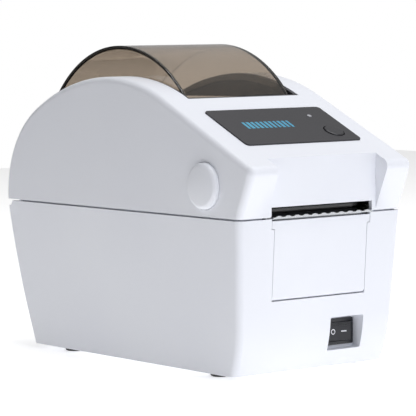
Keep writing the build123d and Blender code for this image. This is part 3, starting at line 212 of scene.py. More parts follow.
def turned(shape, profile, centre, axis, steps=64):
    """Adds a closed body of revolution to a bmesh. profile holds (distance along axis, radius) points
    that are spun round axis."""
    along = Vector(axis).normalized()
    across = along.orthogonal().normalized()
    third = along.cross(across)
    rings = []
    for distance, radius in profile:
        middle = Vector(centre) + along * distance
        if radius < ON_AXIS:
            rings.append([shape.verts.new(middle)])
            continue
        angles = [2 * math.pi * k / steps for k in range(steps)]
        rings.append([
            shape.verts.new(middle + (across * math.cos(a) + third * math.sin(a)) * radius)
            for a in angles
        ])
    for low, high in zip(rings, rings[1:]):
        for k in range(steps):
            near = [low[k % len(low)], low[(k + 1) % len(low)]]
            far = [high[(k + 1) % len(high)], high[k % len(high)]]
            shape.faces.new(list(dict.fromkeys(near + far)))


def moulded_rubber(name, colour, bloom, roughness):
    """Moulded rubber: soft sheen, fine pitted skin and a grey bloom."""
    material, tree, place = open_material(name)
    pits = add_node(tree, "ShaderNodeTexNoise", {"Vector": place, "Scale": 1 / (0.5 * MM), "Detail": 4.0})
    dust = add_node(tree, "ShaderNodeTexNoise", {"Vector": place, "Scale": 1 / (9 * MM), "Detail": 3.0})
    share = add_node(
        tree, "ShaderNodeMapRange",
        {"Value": dust.outputs["Fac"], "From Min": 0.45, "From Max": 0.75, "To Max": 0.6},
    )
    tint = add_node(
        tree, "ShaderNodeMix",
        {0: share.outputs[0], 6: linear(colour), 7: linear(bloom)}, data_type="RGBA",
    )
    skin = add_node(
        tree, "ShaderNodeBump", {"Height": pits.outputs["Fac"], "Strength": 0.2, "Distance": 0.04 * MM}
    )
    shader = add_node(
        tree, "ShaderNodeBsdfPrincipled",
        {
            "Base Color": tint.outputs[2], "Roughness": roughness, "IOR": 1.52,
            "Sheen Weight": 0.15, "Sheen Roughness": 0.5, "Normal": skin.outputs["Normal"],
        },
    )
    close_material(tree, shader)
    return material


foot_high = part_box("rubber_feet")[1]
FOOT_R = 6.2 * MM
foot_x, foot_y = foot_high.x - FOOT_R, foot_high.y - FOOT_R
foot_h = foot_high.z
# Height and radius from the middle of the sole, over its ring groove, to the rim and the top.
sole = [(0, 0), (0, 2.2 * MM), (0.5 * MM, 2.4 * MM), (0.5 * MM, 3.2 * MM), (0, 3.4 * MM)]
rim = [(0, 4.9 * MM), (0.25 * MM, 5.5 * MM), (0.9 * MM, 5.95 * MM), (1.7 * MM, 6.15 * MM)]
top = [(foot_h, FOOT_R), (foot_h, 0)]
feet = bmesh.new()
for x in (-foot_x, foot_x):
    for y in (-foot_y, foot_y):
        turned(feet, sole + rim + top, (x, y, 0), (0, 0, 1), 48)
foot_rubber = moulded_rubber("Nitrile_rubber_moulded", "#26262A", "#3A3A3E", 0.72)
finished(feet, "grip_feet", foot_rubber, "rubber_feet")

# ------------------------------------------------------------------ screws
# Zinc-plated pan-head screws with a cross recess: four through the base plate, four on the main
# board, two under the mechanism and four in the lid. One node tree sets each group in its places.


def plated_steel(name, colour, roughness, stretch=(1, 1, 12), spangle=6 * MM):
    """Zinc-plated sheet or wire: faint rolling lines and a cloudy passivated tint."""
    material, tree, place = open_material(name)
    lines = add_node(tree, "ShaderNodeMapping", {"Vector": place, "Scale": stretch})
    rolled = add_node(
        tree, "ShaderNodeTexNoise", {"Vector": lines.outputs[0], "Scale": 1 / (1.6 * MM), "Detail": 4.0}
    )
    cloud = add_node(tree, "ShaderNodeTexNoise", {"Vector": place, "Scale": 1 / spangle, "Detail": 3.0})
    tint = add_node(
        tree, "ShaderNodeMix",
        {0: cloud.outputs["Fac"], 6: linear(colour), 7: linear("#C9CCD0")},
        data_type="RGBA",
    )
    gloss = add_node(
        tree, "ShaderNodeMapRange",
        {"Value": rolled.outputs["Fac"], "To Min": roughness - 0.08, "To Max": roughness + 0.1},
    )
    relief = add_node(
        tree, "ShaderNodeBump", {"Height": rolled.outputs["Fac"], "Strength": 0.12, "Distance": 0.02 * MM}
    )
    shader = add_node(
        tree, "ShaderNodeBsdfPrincipled",
        {
            "Base Color": tint.outputs[2], "Metallic": 1.0, "Roughness": gloss.outputs[0],
            "Normal": relief.outputs["Normal"],
        },
    )
    close_material(tree, shader)
    return material


zinc_steel = plated_steel("Zinc_plated_steel_rolled", "#AEB2B8", 0.32)


def new_tree(name, sizes):
    """A geometry node tree with one named input for each size, and its input and output nodes."""
    tree = bpy.data.node_groups.new(name, "GeometryNodeTree")
    for label, kind in sizes.items():
        tree.interface.new_socket(label, in_out="INPUT", socket_type=f"NodeSocket{kind}")
    tree.interface.new_socket("Geometry", in_out="OUTPUT", socket_type="NodeSocketGeometry")
    return tree, add_node(tree, "NodeGroupInput").outputs


def end_tree(tree, geometry, material_socket):
    """Realises the instances, gives them their material and sends them out."""
    solid = add_node(tree, "GeometryNodeRealizeInstances", {"Geometry": geometry})
    dressed = add_node(
        tree, "GeometryNodeSetMaterial", {"Geometry": solid.outputs[0], "Material": material_socket}
    )
    add_node(tree, "NodeGroupOutput", {"Geometry": dressed.outputs[0]})


def grown(tree, values):
    """The plain mesh that a node tree gives for these input values."""
    host = bpy.data.objects.new("host", bpy.data.meshes.new("host"))
    bpy.context.scene.collection.objects.link(host)
    modifier = host.modifiers.new("grow", "NODES")
    modifier.node_group = tree
    for item in tree.interface.items_tree:
        if item.in_out == "INPUT":
            modifier[item.identifier] = values[item.name]
    mesh = bpy.data.meshes.new_from_object(host.evaluated_get(bpy.context.evaluated_depsgraph_get()))
    bpy.data.objects.remove(host)
    return mesh


DOME_SHARE = 0.22                   # height of the domed cap, of the head's radius
SLOT_LONG, SLOT_WIDE = 1.15, 0.26   # of the head's radius
SLOT_TALL = 1.5                     # of the head's height


def screw_tree():
    """Screws on a grid: a pan head with a cross cut into it, and a shank, turned to face Tilt."""
    tree, sizes = new_tree("Screw_set", {
        "Columns": "Int", "Rows": "Int", "Span X": "Float", "Span Y": "Float", "Head radius": "Float",
        "Head height": "Float", "Shank radius": "Float", "Shank length": "Float", "Tilt": "Vector",
        "Centre": "Vector", "Material": "Material",
    })
    head = add_node(
        tree, "GeometryNodeMeshCylinder",
        {
            "Vertices": 40, "Side Segments": 1, "Fill Segments": 1,
            "Radius": sizes["Head radius"], "Depth": sizes["Head height"],
        },
    )
    half = add_node(tree, "ShaderNodeMath", {0: sizes["Head height"], 1: 0.5}, operation="MULTIPLY")
    top = add_node(tree, "ShaderNodeCombineXYZ", {"Z": half.outputs[0]})
    dome = add_node(
        tree, "GeometryNodeMeshUVSphere", {"Segments": 40, "Rings": 16, "Radius": sizes["Head radius"]}
    )
    # The domed cap is a flattened ball on the head.
    cap = add_node(
        tree, "GeometryNodeTransform", {"Geometry": dome.outputs[0], "Scale": (1.0, 1.0, DOME_SHARE)}
    )
    cap_up = add_node(
        tree, "GeometryNodeTransform", {"Geometry": cap.outputs[0], "Translation": top.outputs[0]}
    )
    pan = add_node(tree, "GeometryNodeMeshBoolean", {"Mesh 2": head.outputs[0]}, operation="UNION")
    tree.links.new(cap_up.outputs[0], pan.inputs["Mesh 2"])
    # Two crossed wedges make the recess.
    width = add_node(
        tree, "ShaderNodeMath", {0: sizes["Head radius"], 1: SLOT_LONG}, operation="MULTIPLY"
    )
    thin = add_node(tree, "ShaderNodeMath", {0: sizes["Head radius"], 1: SLOT_WIDE}, operation="MULTIPLY")
    deep = add_node(tree, "ShaderNodeMath", {0: sizes["Head height"], 1: SLOT_TALL}, operation="MULTIPLY")
    sizes_a = add_node(
        tree, "ShaderNodeCombineXYZ", {"X": width.outputs[0], "Y": thin.outputs[0], "Z": deep.outputs[0]}
    )
    sizes_b = add_node(
        tree, "ShaderNodeCombineXYZ", {"X": thin.outputs[0], "Y": width.outputs[0], "Z": deep.outputs[0]}
    )
    raised = add_node(tree, "ShaderNodeCombineXYZ", {"Z": sizes["Head height"]})
    cut = pan.outputs[0]
    for size in (sizes_a, sizes_b):
        blade = add_node(tree, "GeometryNodeMeshCube", {"Size": size.outputs[0]})
        lifted = add_node(
            tree, "GeometryNodeTransform",
            {"Geometry": blade.outputs[0], "Translation": raised.outputs[0]},
        )
        cut = add_node(
            tree, "GeometryNodeMeshBoolean",
            {"Mesh 1": cut, "Mesh 2": lifted.outputs[0]},
            operation="DIFFERENCE",
        ).outputs[0]
    shank = add_node(
        tree, "GeometryNodeMeshCylinder",
        {"Vertices": 24, "Radius": sizes["Shank radius"], "Depth": sizes["Shank length"]},
    )
    both = add_node(
        tree, "ShaderNodeMath", {0: sizes["Head height"], 1: sizes["Shank length"]}, operation="ADD"
    )
    below = add_node(tree, "ShaderNodeMath", {0: both.outputs[0], 1: -0.5}, operation="MULTIPLY")
    down = add_node(tree, "ShaderNodeCombineXYZ", {"Z": below.outputs[0]})
    shank_down = add_node(
        tree, "GeometryNodeTransform", {"Geometry": shank.outputs[0], "Translation": down.outputs[0]}
    )
    screw = add_node(tree, "GeometryNodeJoinGeometry", {"Geometry": cut})
    tree.links.new(shank_down.outputs[0], screw.inputs["Geometry"])
    turned_screw = add_node(
        tree, "GeometryNodeTransform", {"Geometry": screw.outputs[0], "Rotation": sizes["Tilt"]}
    )
    grid = add_node(
        tree, "GeometryNodeMeshGrid",
        {
            "Size X": sizes["Span X"], "Size Y": sizes["Span Y"], "Vertices X": sizes["Columns"],
            "Vertices Y": sizes["Rows"],
        },
    )
    spots = add_node(
        tree, "GeometryNodeTransform", {"Geometry": grid.outputs[0], "Translation": sizes["Centre"]}
    )
    # Each screw stopped at its own angle when it was driven home.
    angle = add_node(
        tree, "FunctionNodeRandomValue", {"Max": (0.0, 0.0, 1.5), "Seed": 7}, data_type="FLOAT_VECTOR"
    )
    driven = add_node(
        tree, "GeometryNodeInstanceOnPoints",
        {"Points": spots.outputs[0], "Instance": turned_screw.outputs[0], "Rotation": angle.outputs[0]},
    )
    end_tree(tree, driven.outputs[0], sizes["Material"])
    return tree


screws = screw_tree()


def screw_group(node, name, head, shank, rows=2, down=False, span=None, centre=None):
    """One group of like screws in place of its CAD node. head and shank are (radius, length)."""
    low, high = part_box(node)
    dome = DOME_SHARE * head[0]
    height = head[1] - dome
    span = span or (high.x - low.x - 2 * head[0], high.y - low.y - 2 * head[0])
    middle = centre or (low + high) / 2
    head_z = low.z + dome + height / 2 if down else high.z - dome - height / 2
    values = {
        "Columns": 2, "Rows": rows, "Span X": span[0], "Span Y": span[1],
        "Head radius": head[0], "Head height": height, "Shank radius": shank[0], "Shank length": shank[1],
        "Tilt": (math.pi if down else 0.0, 0.0, 0.0), "Centre": (middle[0], middle[1], head_z),
        "Material": zinc_steel,
    }
    return placed(grown(screws, values), name, zinc_steel, node)


screw_group("base_screws", "tray_screws", (2.9 * MM, 1.6 * MM), (1.55 * MM, 8.5 * MM), down=True)
screw_group("board_screws", "main_board_screws", (2.7 * MM, 1.8 * MM), (1.45 * MM, 1.5 * MM))
screw_group("chassis_screws", "mechanism_screws", (2.8 * MM, 1.8 * MM), (1.45 * MM, 1.5 * MM), rows=1)
HEAD_FRAME_HOLES = (("front", 68 * MM, 0.0, -98 * MM), ("rear", 40 * MM, -14 * MM, -76 * MM))
for row, row_span, row_x, row_y in HEAD_FRAME_HOLES:
    screw_group(
        "head_screws", f"head_frame_screws_{row}", (2.7 * MM, 1.6 * MM), (1.25 * MM, 7.0 * MM),
        rows=1, down=True, span=(row_span, 0.0), centre=(row_x, row_y),
    )

# ------------------------------------------------------------------ circuit boards
# Main board on its standoffs and the small panel board: glass epoxy under a green solder mask,
# satin, with the copper tracks standing faintly through it.


def solder_mask(name, colour, track_colour):
    """Green lacquer over copper tracks, which run one way or the other from patch to patch."""
    material, tree, place = open_material(name)
    patch = add_node(
        tree, "ShaderNodeTexVoronoi", {"Vector": place, "Scale": 1 / (12 * MM)}, distance="CHEBYCHEV"
    )
    way = add_node(tree, "ShaderNodeSeparateColor", {"Color": patch.outputs["Color"]})
    pick = add_node(tree, "ShaderNodeMath", {0: way.outputs[0], 1: 0.5}, operation="GREATER_THAN")
    tracks = [
        add_node(
            tree, "ShaderNodeTexWave", {"Vector": place, "Scale": 1 / (9 * MM), "Distortion": 0.0},
            bands_direction=direction,
        ).outputs["Fac"]
        for direction in ("X", "Y")
    ]
    track = add_node(tree, "ShaderNodeMix", {0: pick.outputs[0], 2: tracks[0], 3: tracks[1]})
    edge = add_node(
        tree, "ShaderNodeMapRange", {"Value": track.outputs[0], "From Min": 0.62, "From Max": 0.7}
    )
    tint = add_node(
        tree, "ShaderNodeMix",
        {0: edge.outputs[0], 6: linear(colour), 7: linear(track_colour)}, data_type="RGBA",
    )
    relief = add_node(
        tree, "ShaderNodeBump", {"Height": edge.outputs[0], "Strength": 0.3, "Distance": 0.03 * MM}
    )
    shader = add_node(
        tree, "ShaderNodeBsdfPrincipled",
        {"Base Color": tint.outputs[2], "Roughness": 0.34, "Normal": relief.outputs["Normal"]},
    )
    close_material(tree, shader)
    return material


mask_green = solder_mask("Solder_mask_on_glass_epoxy", "#0E4A2A", "#1F6B3F")
eased("main_board", "main_circuit_board", 0.15 * MM, mask_green)
eased("panel_board", "panel_circuit_board", 0.15 * MM, mask_green)

# ------------------------------------------------------------------ rear sockets
# Plated steel plate with the supply inlet in black nylon and the data sockets in drawn tinplate.
# The network socket holds eight gilt spring contacts.
black_nylon = moulded_plastic("Black_nylon_moulded", "#17181B", "#1C1D21", 0.45, grain=0.5 * MM)
tinplate = plated_steel("Tinned_steel_drawn", "#C2C4C8", 0.26, spangle=3 * MM)
eased("connector_plate", "socket_plate", 0.2 * MM, zinc_steel)
eased("power_inlet", "supply_inlet", 0.2 * MM, black_nylon)
eased("usb_socket", "usb_shell", 0.25 * MM, tinplate)
eased("network_socket", "network_shell", 0.25 * MM, tinplate)


def contact_tree():
    """A row of bars, Wide by Deep by Tall, one Pitch apart. Spread varies their widths."""
    tree, sizes = new_tree("Bar_row", {
        "Count": "Int", "Pitch": "Float", "Wide": "Float", "Deep": "Float", "Tall": "Float",
        "Spread": "Float", "Seed": "Int", "Material": "Material",
    })
    size = add_node(
        tree, "ShaderNodeCombineXYZ", {"X": sizes["Wide"], "Y": sizes["Deep"], "Z": sizes["Tall"]}
    )
    bar = add_node(tree, "GeometryNodeMeshCube", {"Size": size.outputs[0]})
    gaps = add_node(tree, "ShaderNodeMath", {0: sizes["Count"], 1: 1.0}, operation="SUBTRACT")
    length = add_node(
        tree, "ShaderNodeMath", {0: gaps.outputs[0], 1: sizes["Pitch"]}, operation="MULTIPLY"
    )
    half = add_node(tree, "ShaderNodeMath", {0: length.outputs[0], 1: -0.5}, operation="MULTIPLY")
    start = add_node(tree, "ShaderNodeCombineXYZ", {"X": half.outputs[0]})
    step = add_node(tree, "ShaderNodeCombineXYZ", {"X": sizes["Pitch"]})
    line = add_node(
        tree, "GeometryNodeMeshLine",
        {"Count": sizes["Count"], "Start Location": start.outputs[0], "Offset": step.outputs[0]},
    )
    least = add_node(tree, "ShaderNodeMath", {0: 1.0, 1: sizes["Spread"]}, operation="SUBTRACT")
    share = add_node(
        tree, "FunctionNodeRandomValue",
        {2: least.outputs[0], 3: 1.0, "Seed": sizes["Seed"]},
        data_type="FLOAT",
    )
    scale = add_node(tree, "ShaderNodeCombineXYZ", {"X": share.outputs[1], "Y": 1.0, "Z": 1.0})
    row = add_node(
        tree, "GeometryNodeInstanceOnPoints",
        {"Points": line.outputs[0], "Instance": bar.outputs[0], "Scale": scale.outputs[0]},
    )
    end_tree(tree, row.outputs[0], sizes["Material"])
    return tree


bar_row = contact_tree()


def bars(name, material, body, slot, place, count, pitch, size, spread=0.0, seed=1):
    """A row of like bars, made flat and then set by the matrix place."""
    mesh = grown(bar_row, {
        "Count": count, "Pitch": pitch, "Wide": size[0], "Deep": size[1], "Tall": size[2],
        "Spread": spread, "Seed": seed, "Material": material,
    })
    mesh.transform(place)
    return placed(mesh, name, material, body=body, slot=slot)


def turned_metal(name, colour, roughness, line=0.12 * MM):
    """Metal turned in a lathe: the tool leaves fine rings round the shaft, so the noise varies
    along X alone."""
    material, tree, place = open_material(name)
    along = add_node(tree, "ShaderNodeMapping", {"Vector": place, "Scale": (1 / line, 0.0, 0.0)})
    rings = add_node(
        tree, "ShaderNodeTexNoise", {"Vector": along.outputs[0], "Scale": 1.0, "Detail": 3.0}
    )
    gloss = add_node(
        tree, "ShaderNodeMapRange",
        {"Value": rings.outputs["Fac"], "To Min": roughness - 0.08, "To Max": roughness + 0.1},
    )
    relief = add_node(
        tree, "ShaderNodeBump", {"Height": rings.outputs["Fac"], "Strength": 0.25, "Distance": 0.01 * MM}
    )
    shader = add_node(
        tree, "ShaderNodeBsdfPrincipled",
        {
            "Base Color": linear(colour), "Metallic": 1.0, "Roughness": gloss.outputs[0],
            "Normal": relief.outputs["Normal"],
        },
    )
    close_material(tree, shader)
    return material


gilt = turned_metal("Gilt_bronze_stamped", "#D9B45A", 0.25, line=0.4 * MM)
net_low, net_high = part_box("network_socket")
net_x = (net_low.x + net_high.x) / 2
CONTACT = (0.45 * MM, 7 * MM, 0.5 * MM)
CONTACT_PITCH = 1.02 * MM
CONTACT_IN, CONTACT_UP = 4 * MM, 3.6 * MM    # in from the socket's mouth, up from its floor
bars(
    "network_contacts", gilt, "base", "bush_bronze",
    Matrix.Translation((net_x, net_high.y - CONTACT_IN - CONTACT[1] / 2, net_low.z + CONTACT_UP)),
    8, CONTACT_PITCH, CONTACT,
)

# ------------------------------------------------------------------ lower housing and front door
# The white shell of the lower half and the door that folds down under the slot, both moulded ABS.
# The door turns on a ground steel rod.
ground_steel = turned_metal("Steel_ground_bar", "#B9BBBF", 0.24)
eased("lower_housing", "housing_shell", 0.35 * MM, white_abs)
eased("front_door", "fold_down_door", 0.3 * MM, white_abs)
eased("door_rod", "door_hinge_rod", 0.15 * MM, ground_steel)

# ------------------------------------------------------------------ print mechanism
# Zinc-plated chassis with the platen roller, its gears and the stepping motor. The roller is
# ground silicone rubber on a turned shaft; the gears are acetal and the bushes sintered bronze.


def lacquered_can(name, colour, roughness):
    """Black lacquer over a drawn steel can: slight orange peel under a clear coat."""
    material, tree, place = open_material(name)
    peel = add_node(tree, "ShaderNodeTexNoise", {"Vector": place, "Scale": 1 / (1.5 * MM), "Detail": 1.0})
    tint = add_node(
        tree, "ShaderNodeMix",
        {0: peel.outputs["Fac"], 6: linear(colour), 7: linear("#303136")},
        data_type="RGBA",
    )
    relief = add_node(
        tree, "ShaderNodeBump", {"Height": peel.outputs["Fac"], "Strength": 0.15, "Distance": 0.05 * MM}
    )
    shader = add_node(
        tree, "ShaderNodeBsdfPrincipled",
        {
            "Base Color": tint.outputs[2], "Roughness": roughness, "Coat Weight": 0.5,
            "Coat Roughness": 0.15, "Normal": relief.outputs["Normal"],
        },
    )
    close_material(tree, shader)
    return material


acetal = moulded_plastic(
    "Acetal_moulded", "#E9E8DF", "#E2E1D6", 0.3, grain=1.2 * MM, relief=0.05, ior=1.48
)
bronze = turned_metal("Bronze_sintered_turned", "#A9824E", 0.38)
silicone = moulded_rubber("Silicone_rubber_ground", "#2B2C30", "#3D3E44", 0.5)
eased("mechanism_chassis", "chassis_plates", 0.2 * MM, zinc_steel)
eased("platen_bushes", "shaft_bushes", 0.15 * MM, bronze)
eased("platen_shaft", "roller_shaft", 0.2 * MM, ground_steel)
eased("platen_rubber", "roller_sleeve", 0.3 * MM, silicone)
eased("platen_gear", "roller_gear", 0.1 * MM, acetal)
eased("idler_stud", "idler_stud_pin", 0.15 * MM, ground_steel)
eased("idler_gear", "idler_wheel", 0.1 * MM, acetal)
eased("feed_motor", "stepper_can", 0.2 * MM, lacquered_can("Lacquered_steel_drawn", "#232428", 0.35))
eased("motor_shaft", "stepper_shaft", 0.1 * MM, ground_steel)
eased("motor_pinion", "stepper_pinion", 0.08 * MM, bronze)
blade_steel = plated_steel("Stainless_steel_stamped", "#D5D7DB", 0.22, stretch=(12, 1, 1))
eased("tear_bar", "toothed_tear_bar", 0.08 * MM, blade_steel)

# ------------------------------------------------------------------ media bay
# Charcoal ABS lining that holds the roll, the two centring guides with their racks and pinion,
# and the deflector with its reflective gap sensor under the web.
dark_abs = moulded_plastic("Charcoal_ABS_moulded", "#3A3A3E", "#404044", 0.5, grain=0.9 * MM, relief=0.25)
eased("bay_liner", "media_bay_lining", 0.3 * MM, dark_abs)
eased("media_guide_left", "roll_guide_left", 0.3 * MM, dark_abs)
eased("media_guide_right", "roll_guide_right", 0.3 * MM, dark_abs)
eased("guide_pinion", "guide_drive_pinion", 0.1 * MM, acetal)
eased("paper_guide", "web_deflector", 0.25 * MM, dark_abs)
eased("gap_sensor", "label_gap_sensor", 0.1 * MM, black_nylon)

# ------------------------------------------------------------------ mains rocker
# A standard snap-in rocker: glossy black nylon body and key, with a ring and a bar in white ink
# and two finger ridges moulded across the top of the key.
rocker_nylon = moulded_plastic(
    "Black_nylon_polished", "#0E1018", "#13151E", 0.32, grain=1.5 * MM, relief=0.04
)
white_ink = moulded_plastic(
    "White_ink_printed", "#F4F5F8", "#EDEEF2", 0.5, grain=0.4 * MM, relief=0.05
)
eased("switch_body", "rocker_bezel", 0.25 * MM, rocker_nylon)
eased("rocker", "rocker_key", 0.45 * MM, rocker_nylon)

key = next(j for j in frame["joints"] if j["child"] == "rocker")
key_pivot = Vector(key["pos_m"])
KEY_REST_TILT = math.radians(-7)    # the ring's side is pressed in
KEY_VALLEY = math.radians(7.125)    # how far each face leans to the middle
VALLEY_DEPTH = 5.0 * MM             # from the pivot to the valley of the key
KEY_HALF_H = 5.3 * MM
KEY_REACH = 8 * MM                  # from the valley to the end of either face
BAR_MARK = (3.4 * MM, 0.12 * MM, 0.62 * MM)
RIDGE = (6.6 * MM, 0.5 * MM, 0.4 * MM)
RIDGE_STEP = 1.0 * MM


def on_key(side, share, height=0.0):
    """A frame on the left (-1) or right (1) face of the key, share of the way out from the valley:
    X along the face, -Y outwards."""
    turn = Matrix.Translation(key_pivot) @ Matrix.Rotation(KEY_REST_TILT, 4, "Z")
    face = Matrix.Translation((0, -VALLEY_DEPTH, 0)) @ Matrix.Rotation(-side * KEY_VALLEY, 4, "Z")
    return turn @ face @ Matrix.Translation((side * share * KEY_REACH, 0, height))


bars("rocker_bar_mark", white_ink, "rocker", "white_abs", on_key(1, 0.45), 1, 1.0, BAR_MARK)
ring = bmesh.new()
RING_OUT, RING_IN, INK = 1.55 * MM, 1.1 * MM, 0.06 * MM
ring_edge = [(-INK, RING_IN), (-INK, RING_OUT), (INK, RING_OUT), (INK, RING_IN), (-INK, RING_IN)]
turned(ring, ring_edge, (0, 0, 0), (0, -1, 0), 40)
# The outline ends where it begins, so its last points are welded to the first.
bmesh.ops.remove_doubles(ring, verts=ring.verts, dist=0.001 * MM)
ring.transform(on_key(-1, 0.48))
finished(ring, "rocker_ring_mark", white_ink, body="rocker", slot="white_abs")
for side, word in ((-1, "left"), (1, "right")):
    for level in (1, 2):
        bars(
            f"rocker_ridge_{word}_{level}", rocker_nylon, "rocker", "rocker_nylon",
            on_key(side, 0.48, KEY_HALF_H - level * RIDGE_STEP), 1, 1.0, RIDGE,
        )

# ------------------------------------------------------------------ hinge and lid shell
# The domed white lid, one ABS moulding that turns on two steel pins at the rear, and the
# charcoal lining round its opening.
eased("hinge_pins", "lid_hinge_pins", 0.15 * MM, ground_steel)
eased("lid_shell", "lid_moulding", 0.35 * MM, white_abs)
eased("lid_liner", "lid_lining", 0.3 * MM, dark_abs)

# ------------------------------------------------------------------ window
# Smoked polycarbonate dome, moulded clear and 2 mm thick. It is polished, so it mirrors the studio.
# Inside both ends, a line of dark opaque plastic paints the shade of the end walls seen through the
# smoke.


def smoked_polycarbonate(name, passed, density):
    """Clear tinted polycarbonate. Its colour comes from the thickness that light goes through."""
    material, tree, place = open_material(name)
    flow = add_node(tree, "ShaderNodeTexNoise", {"Vector": place, "Scale": 1 / (30 * MM), "Detail": 1.0})
    gloss = add_node(
        tree, "ShaderNodeMapRange", {"Value": flow.outputs["Fac"], "To Min": 0.015, "To Max": 0.04}
    )
    relief = add_node(
        tree, "ShaderNodeBump", {"Height": flow.outputs["Fac"], "Strength": 0.05, "Distance": 0.2 * MM}
    )
    shader = add_node(
        tree, "ShaderNodeBsdfPrincipled",
        {
            "Base Color": (1.0, 1.0, 1.0, 1.0), "Roughness": gloss.outputs[0], "IOR": 1.585,
            "Transmission Weight": 1.0, "Normal": relief.outputs["Normal"],
        },
    )
    tint = add_node(tree, "ShaderNodeVolumeAbsorption", {"Color": passed, "Density": density})
    add_node(tree, "ShaderNodeOutputMaterial", {"Surface": shader.outputs[0], "Volume": tint.outputs[0]})
    return material


smoke = smoked_polycarbonate("Smoked_polycarbonate_moulded", linear("#A68C60"), 370.0)
eased("window", "smoked_dome", 0.35 * MM, smoke)

# Painted shade: an opaque dark line along both ends of the dome, inside its wall, where the shaded end
# walls show through the smoked polycarbonate.
ARC_Y, ARC_Z = 28.3 * MM, 101.5 * MM    # centre of the dome's arc
ARC_R, ARC_X, ARC_HALF = 81.2 * MM, 37.6 * MM, 0.5 * MM
ARC_FROM, ARC_TO, ARC_STEPS = math.radians(18), math.radians(143), 80
# A dark opaque finish that paints shade; it is not a colour of the polycarbonate.
painted_shade_finish = moulded_plastic("Painted_shade_dome_edge", "#1B1714", "#211C18", 0.4, ior=1.585)
arcs = bmesh.new()
for side in (-1, 1):
    rows = []
    for k in range(ARC_STEPS + 1):
        a = ARC_FROM + (ARC_TO - ARC_FROM) * k / ARC_STEPS
        rows.append([
            arcs.verts.new((
                side * (ARC_X + dx * ARC_HALF),
                ARC_Y + (ARC_R + dr * ARC_HALF) * math.cos(a),
                ARC_Z + (ARC_R + dr * ARC_HALF) * math.sin(a),
            ))
            for dx, dr in ((-1, -1), (1, -1), (1, 1), (-1, 1))
        ])
    for row, following in zip(rows, rows[1:]):
        for i in range(4):
            arcs.faces.new((row[i], row[i - 1], following[i - 1], following[i]))
    arcs.faces.new(rows[0])
    arcs.faces.new(reversed(rows[-1]))
finished(arcs, "painted_shade_dome_lines", painted_shade_finish, body="lid", slot="smoked_polycarbonate")

# ------------------------------------------------------------------ control panel
# Satin polycarbonate film inlay in dark grey on the slope, with a generic row of printed bars,
# the feed button in its ring gap and the frosted lamp pipe.
panel_film = moulded_plastic(
    "Polycarbonate_film_screen_printed", "#26262B", "#29282D", 0.42,
    grain=0.45 * MM, relief=0.14, ior=1.58,
)
button_abs = moulded_plastic("Charcoal_ABS_keycap", "#242429", "#29292E", 0.36, grain=0.8 * MM)
bar_ink = moulded_plastic(
    "Blue_ink_screen_printed", "#3E93B8", "#4BA5C4", 0.4, grain=0.4 * MM, relief=0.05
)
frosted = moulded_plastic(
    "Acrylic_frosted_moulded", "#A9A9AF", "#B4B4BA", 0.38, grain=0.3 * MM, ior=1.49
)
eased("control_panel", "panel_inlay", 0.3 * MM, panel_film)
eased("feed_button", "feed_key_cap", 0.25 * MM, button_abs)
eased("feed_switch", "feed_tact_switch", 0.1 * MM, black_nylon)
eased("lamp_pipe", "status_lamp_pipe", 0.15 * MM, frosted)

panel_low, panel_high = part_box("control_panel")
SLOPE = math.radians(24.8)
PANEL_T = 1.6 * MM
panel_top = Vector((0, panel_low.y, panel_low.z + PANEL_T * math.cos(SLOPE)))
panel_run = (panel_high.y - panel_low.y - PANEL_T * math.sin(SLOPE)) / math.cos(SLOPE)


def on_panel(x, share, lift=0.0):
    """A frame on the panel's face: X across, Y up the slope, Z out of it. share runs from 0 at its
    front to 1 at its rear."""
    slope = Matrix.Rotation(SLOPE, 4, "X")
    return Matrix.Translation(panel_top) @ slope @ Matrix.Translation((x, share * panel_run, lift))


MARK_X, MARK_SHARE = -10.5 * MM, 0.53
PRINTED_BAR = (2.3 * MM, 7.6 * MM, 0.1 * MM)
BAR_PITCH = 3.2 * MM
bars(
    "printed_bars", bar_ink, "lid", "panel_film", on_panel(MARK_X, MARK_SHARE), 11, BAR_PITCH,
    PRINTED_BAR, spread=0.5, seed=5,
)

# ------------------------------------------------------------------ print head
# Extruded aluminium heat sink with the ceramic head under it, on a folded steel frame, pushed
# down by two coil springs of drawn wire.


def extruded_aluminium(name, colour, roughness):
    """Anodised extrusion: the die leaves fine lines along X."""
    material, tree, place = open_material(name)
    lines = add_node(
        tree, "ShaderNodeMapping", {"Vector": place, "Scale": (40.0, 1 / (0.4 * MM), 1 / (0.4 * MM))}
    )
    drawn = add_node(
        tree, "ShaderNodeTexNoise", {"Vector": lines.outputs[0], "Scale": 1.0, "Detail": 3.0}
    )
    gloss = add_node(
        tree, "ShaderNodeMapRange",
        {"Value": drawn.outputs["Fac"], "To Min": roughness - 0.08, "To Max": roughness + 0.12},
    )
    relief = add_node(
        tree, "ShaderNodeBump", {"Height": drawn.outputs["Fac"], "Strength": 0.2, "Distance": 0.02 * MM}
    )
    shader = add_node(
        tree, "ShaderNodeBsdfPrincipled",
        {
            "Base Color": linear(colour), "Metallic": 1.0, "Roughness": gloss.outputs[0],
            "Normal": relief.outputs["Normal"],
        },
    )
    close_material(tree, shader)
    return material


eased("head_frame", "head_carrier", 0.2 * MM, zinc_steel)
black_fins = extruded_aluminium("Aluminium_black_anodised", "#17181A", 0.4)
eased("head_heatsink", "finned_heatsink", 0.2 * MM, black_fins)
glazed = moulded_plastic(
    "Alumina_black_glazed", "#16161A", "#1B1B1F", 0.22, grain=2 * MM, relief=0.03, ior=1.76
)
eased("thermal_head", "ceramic_print_head", 0.15 * MM, glazed)


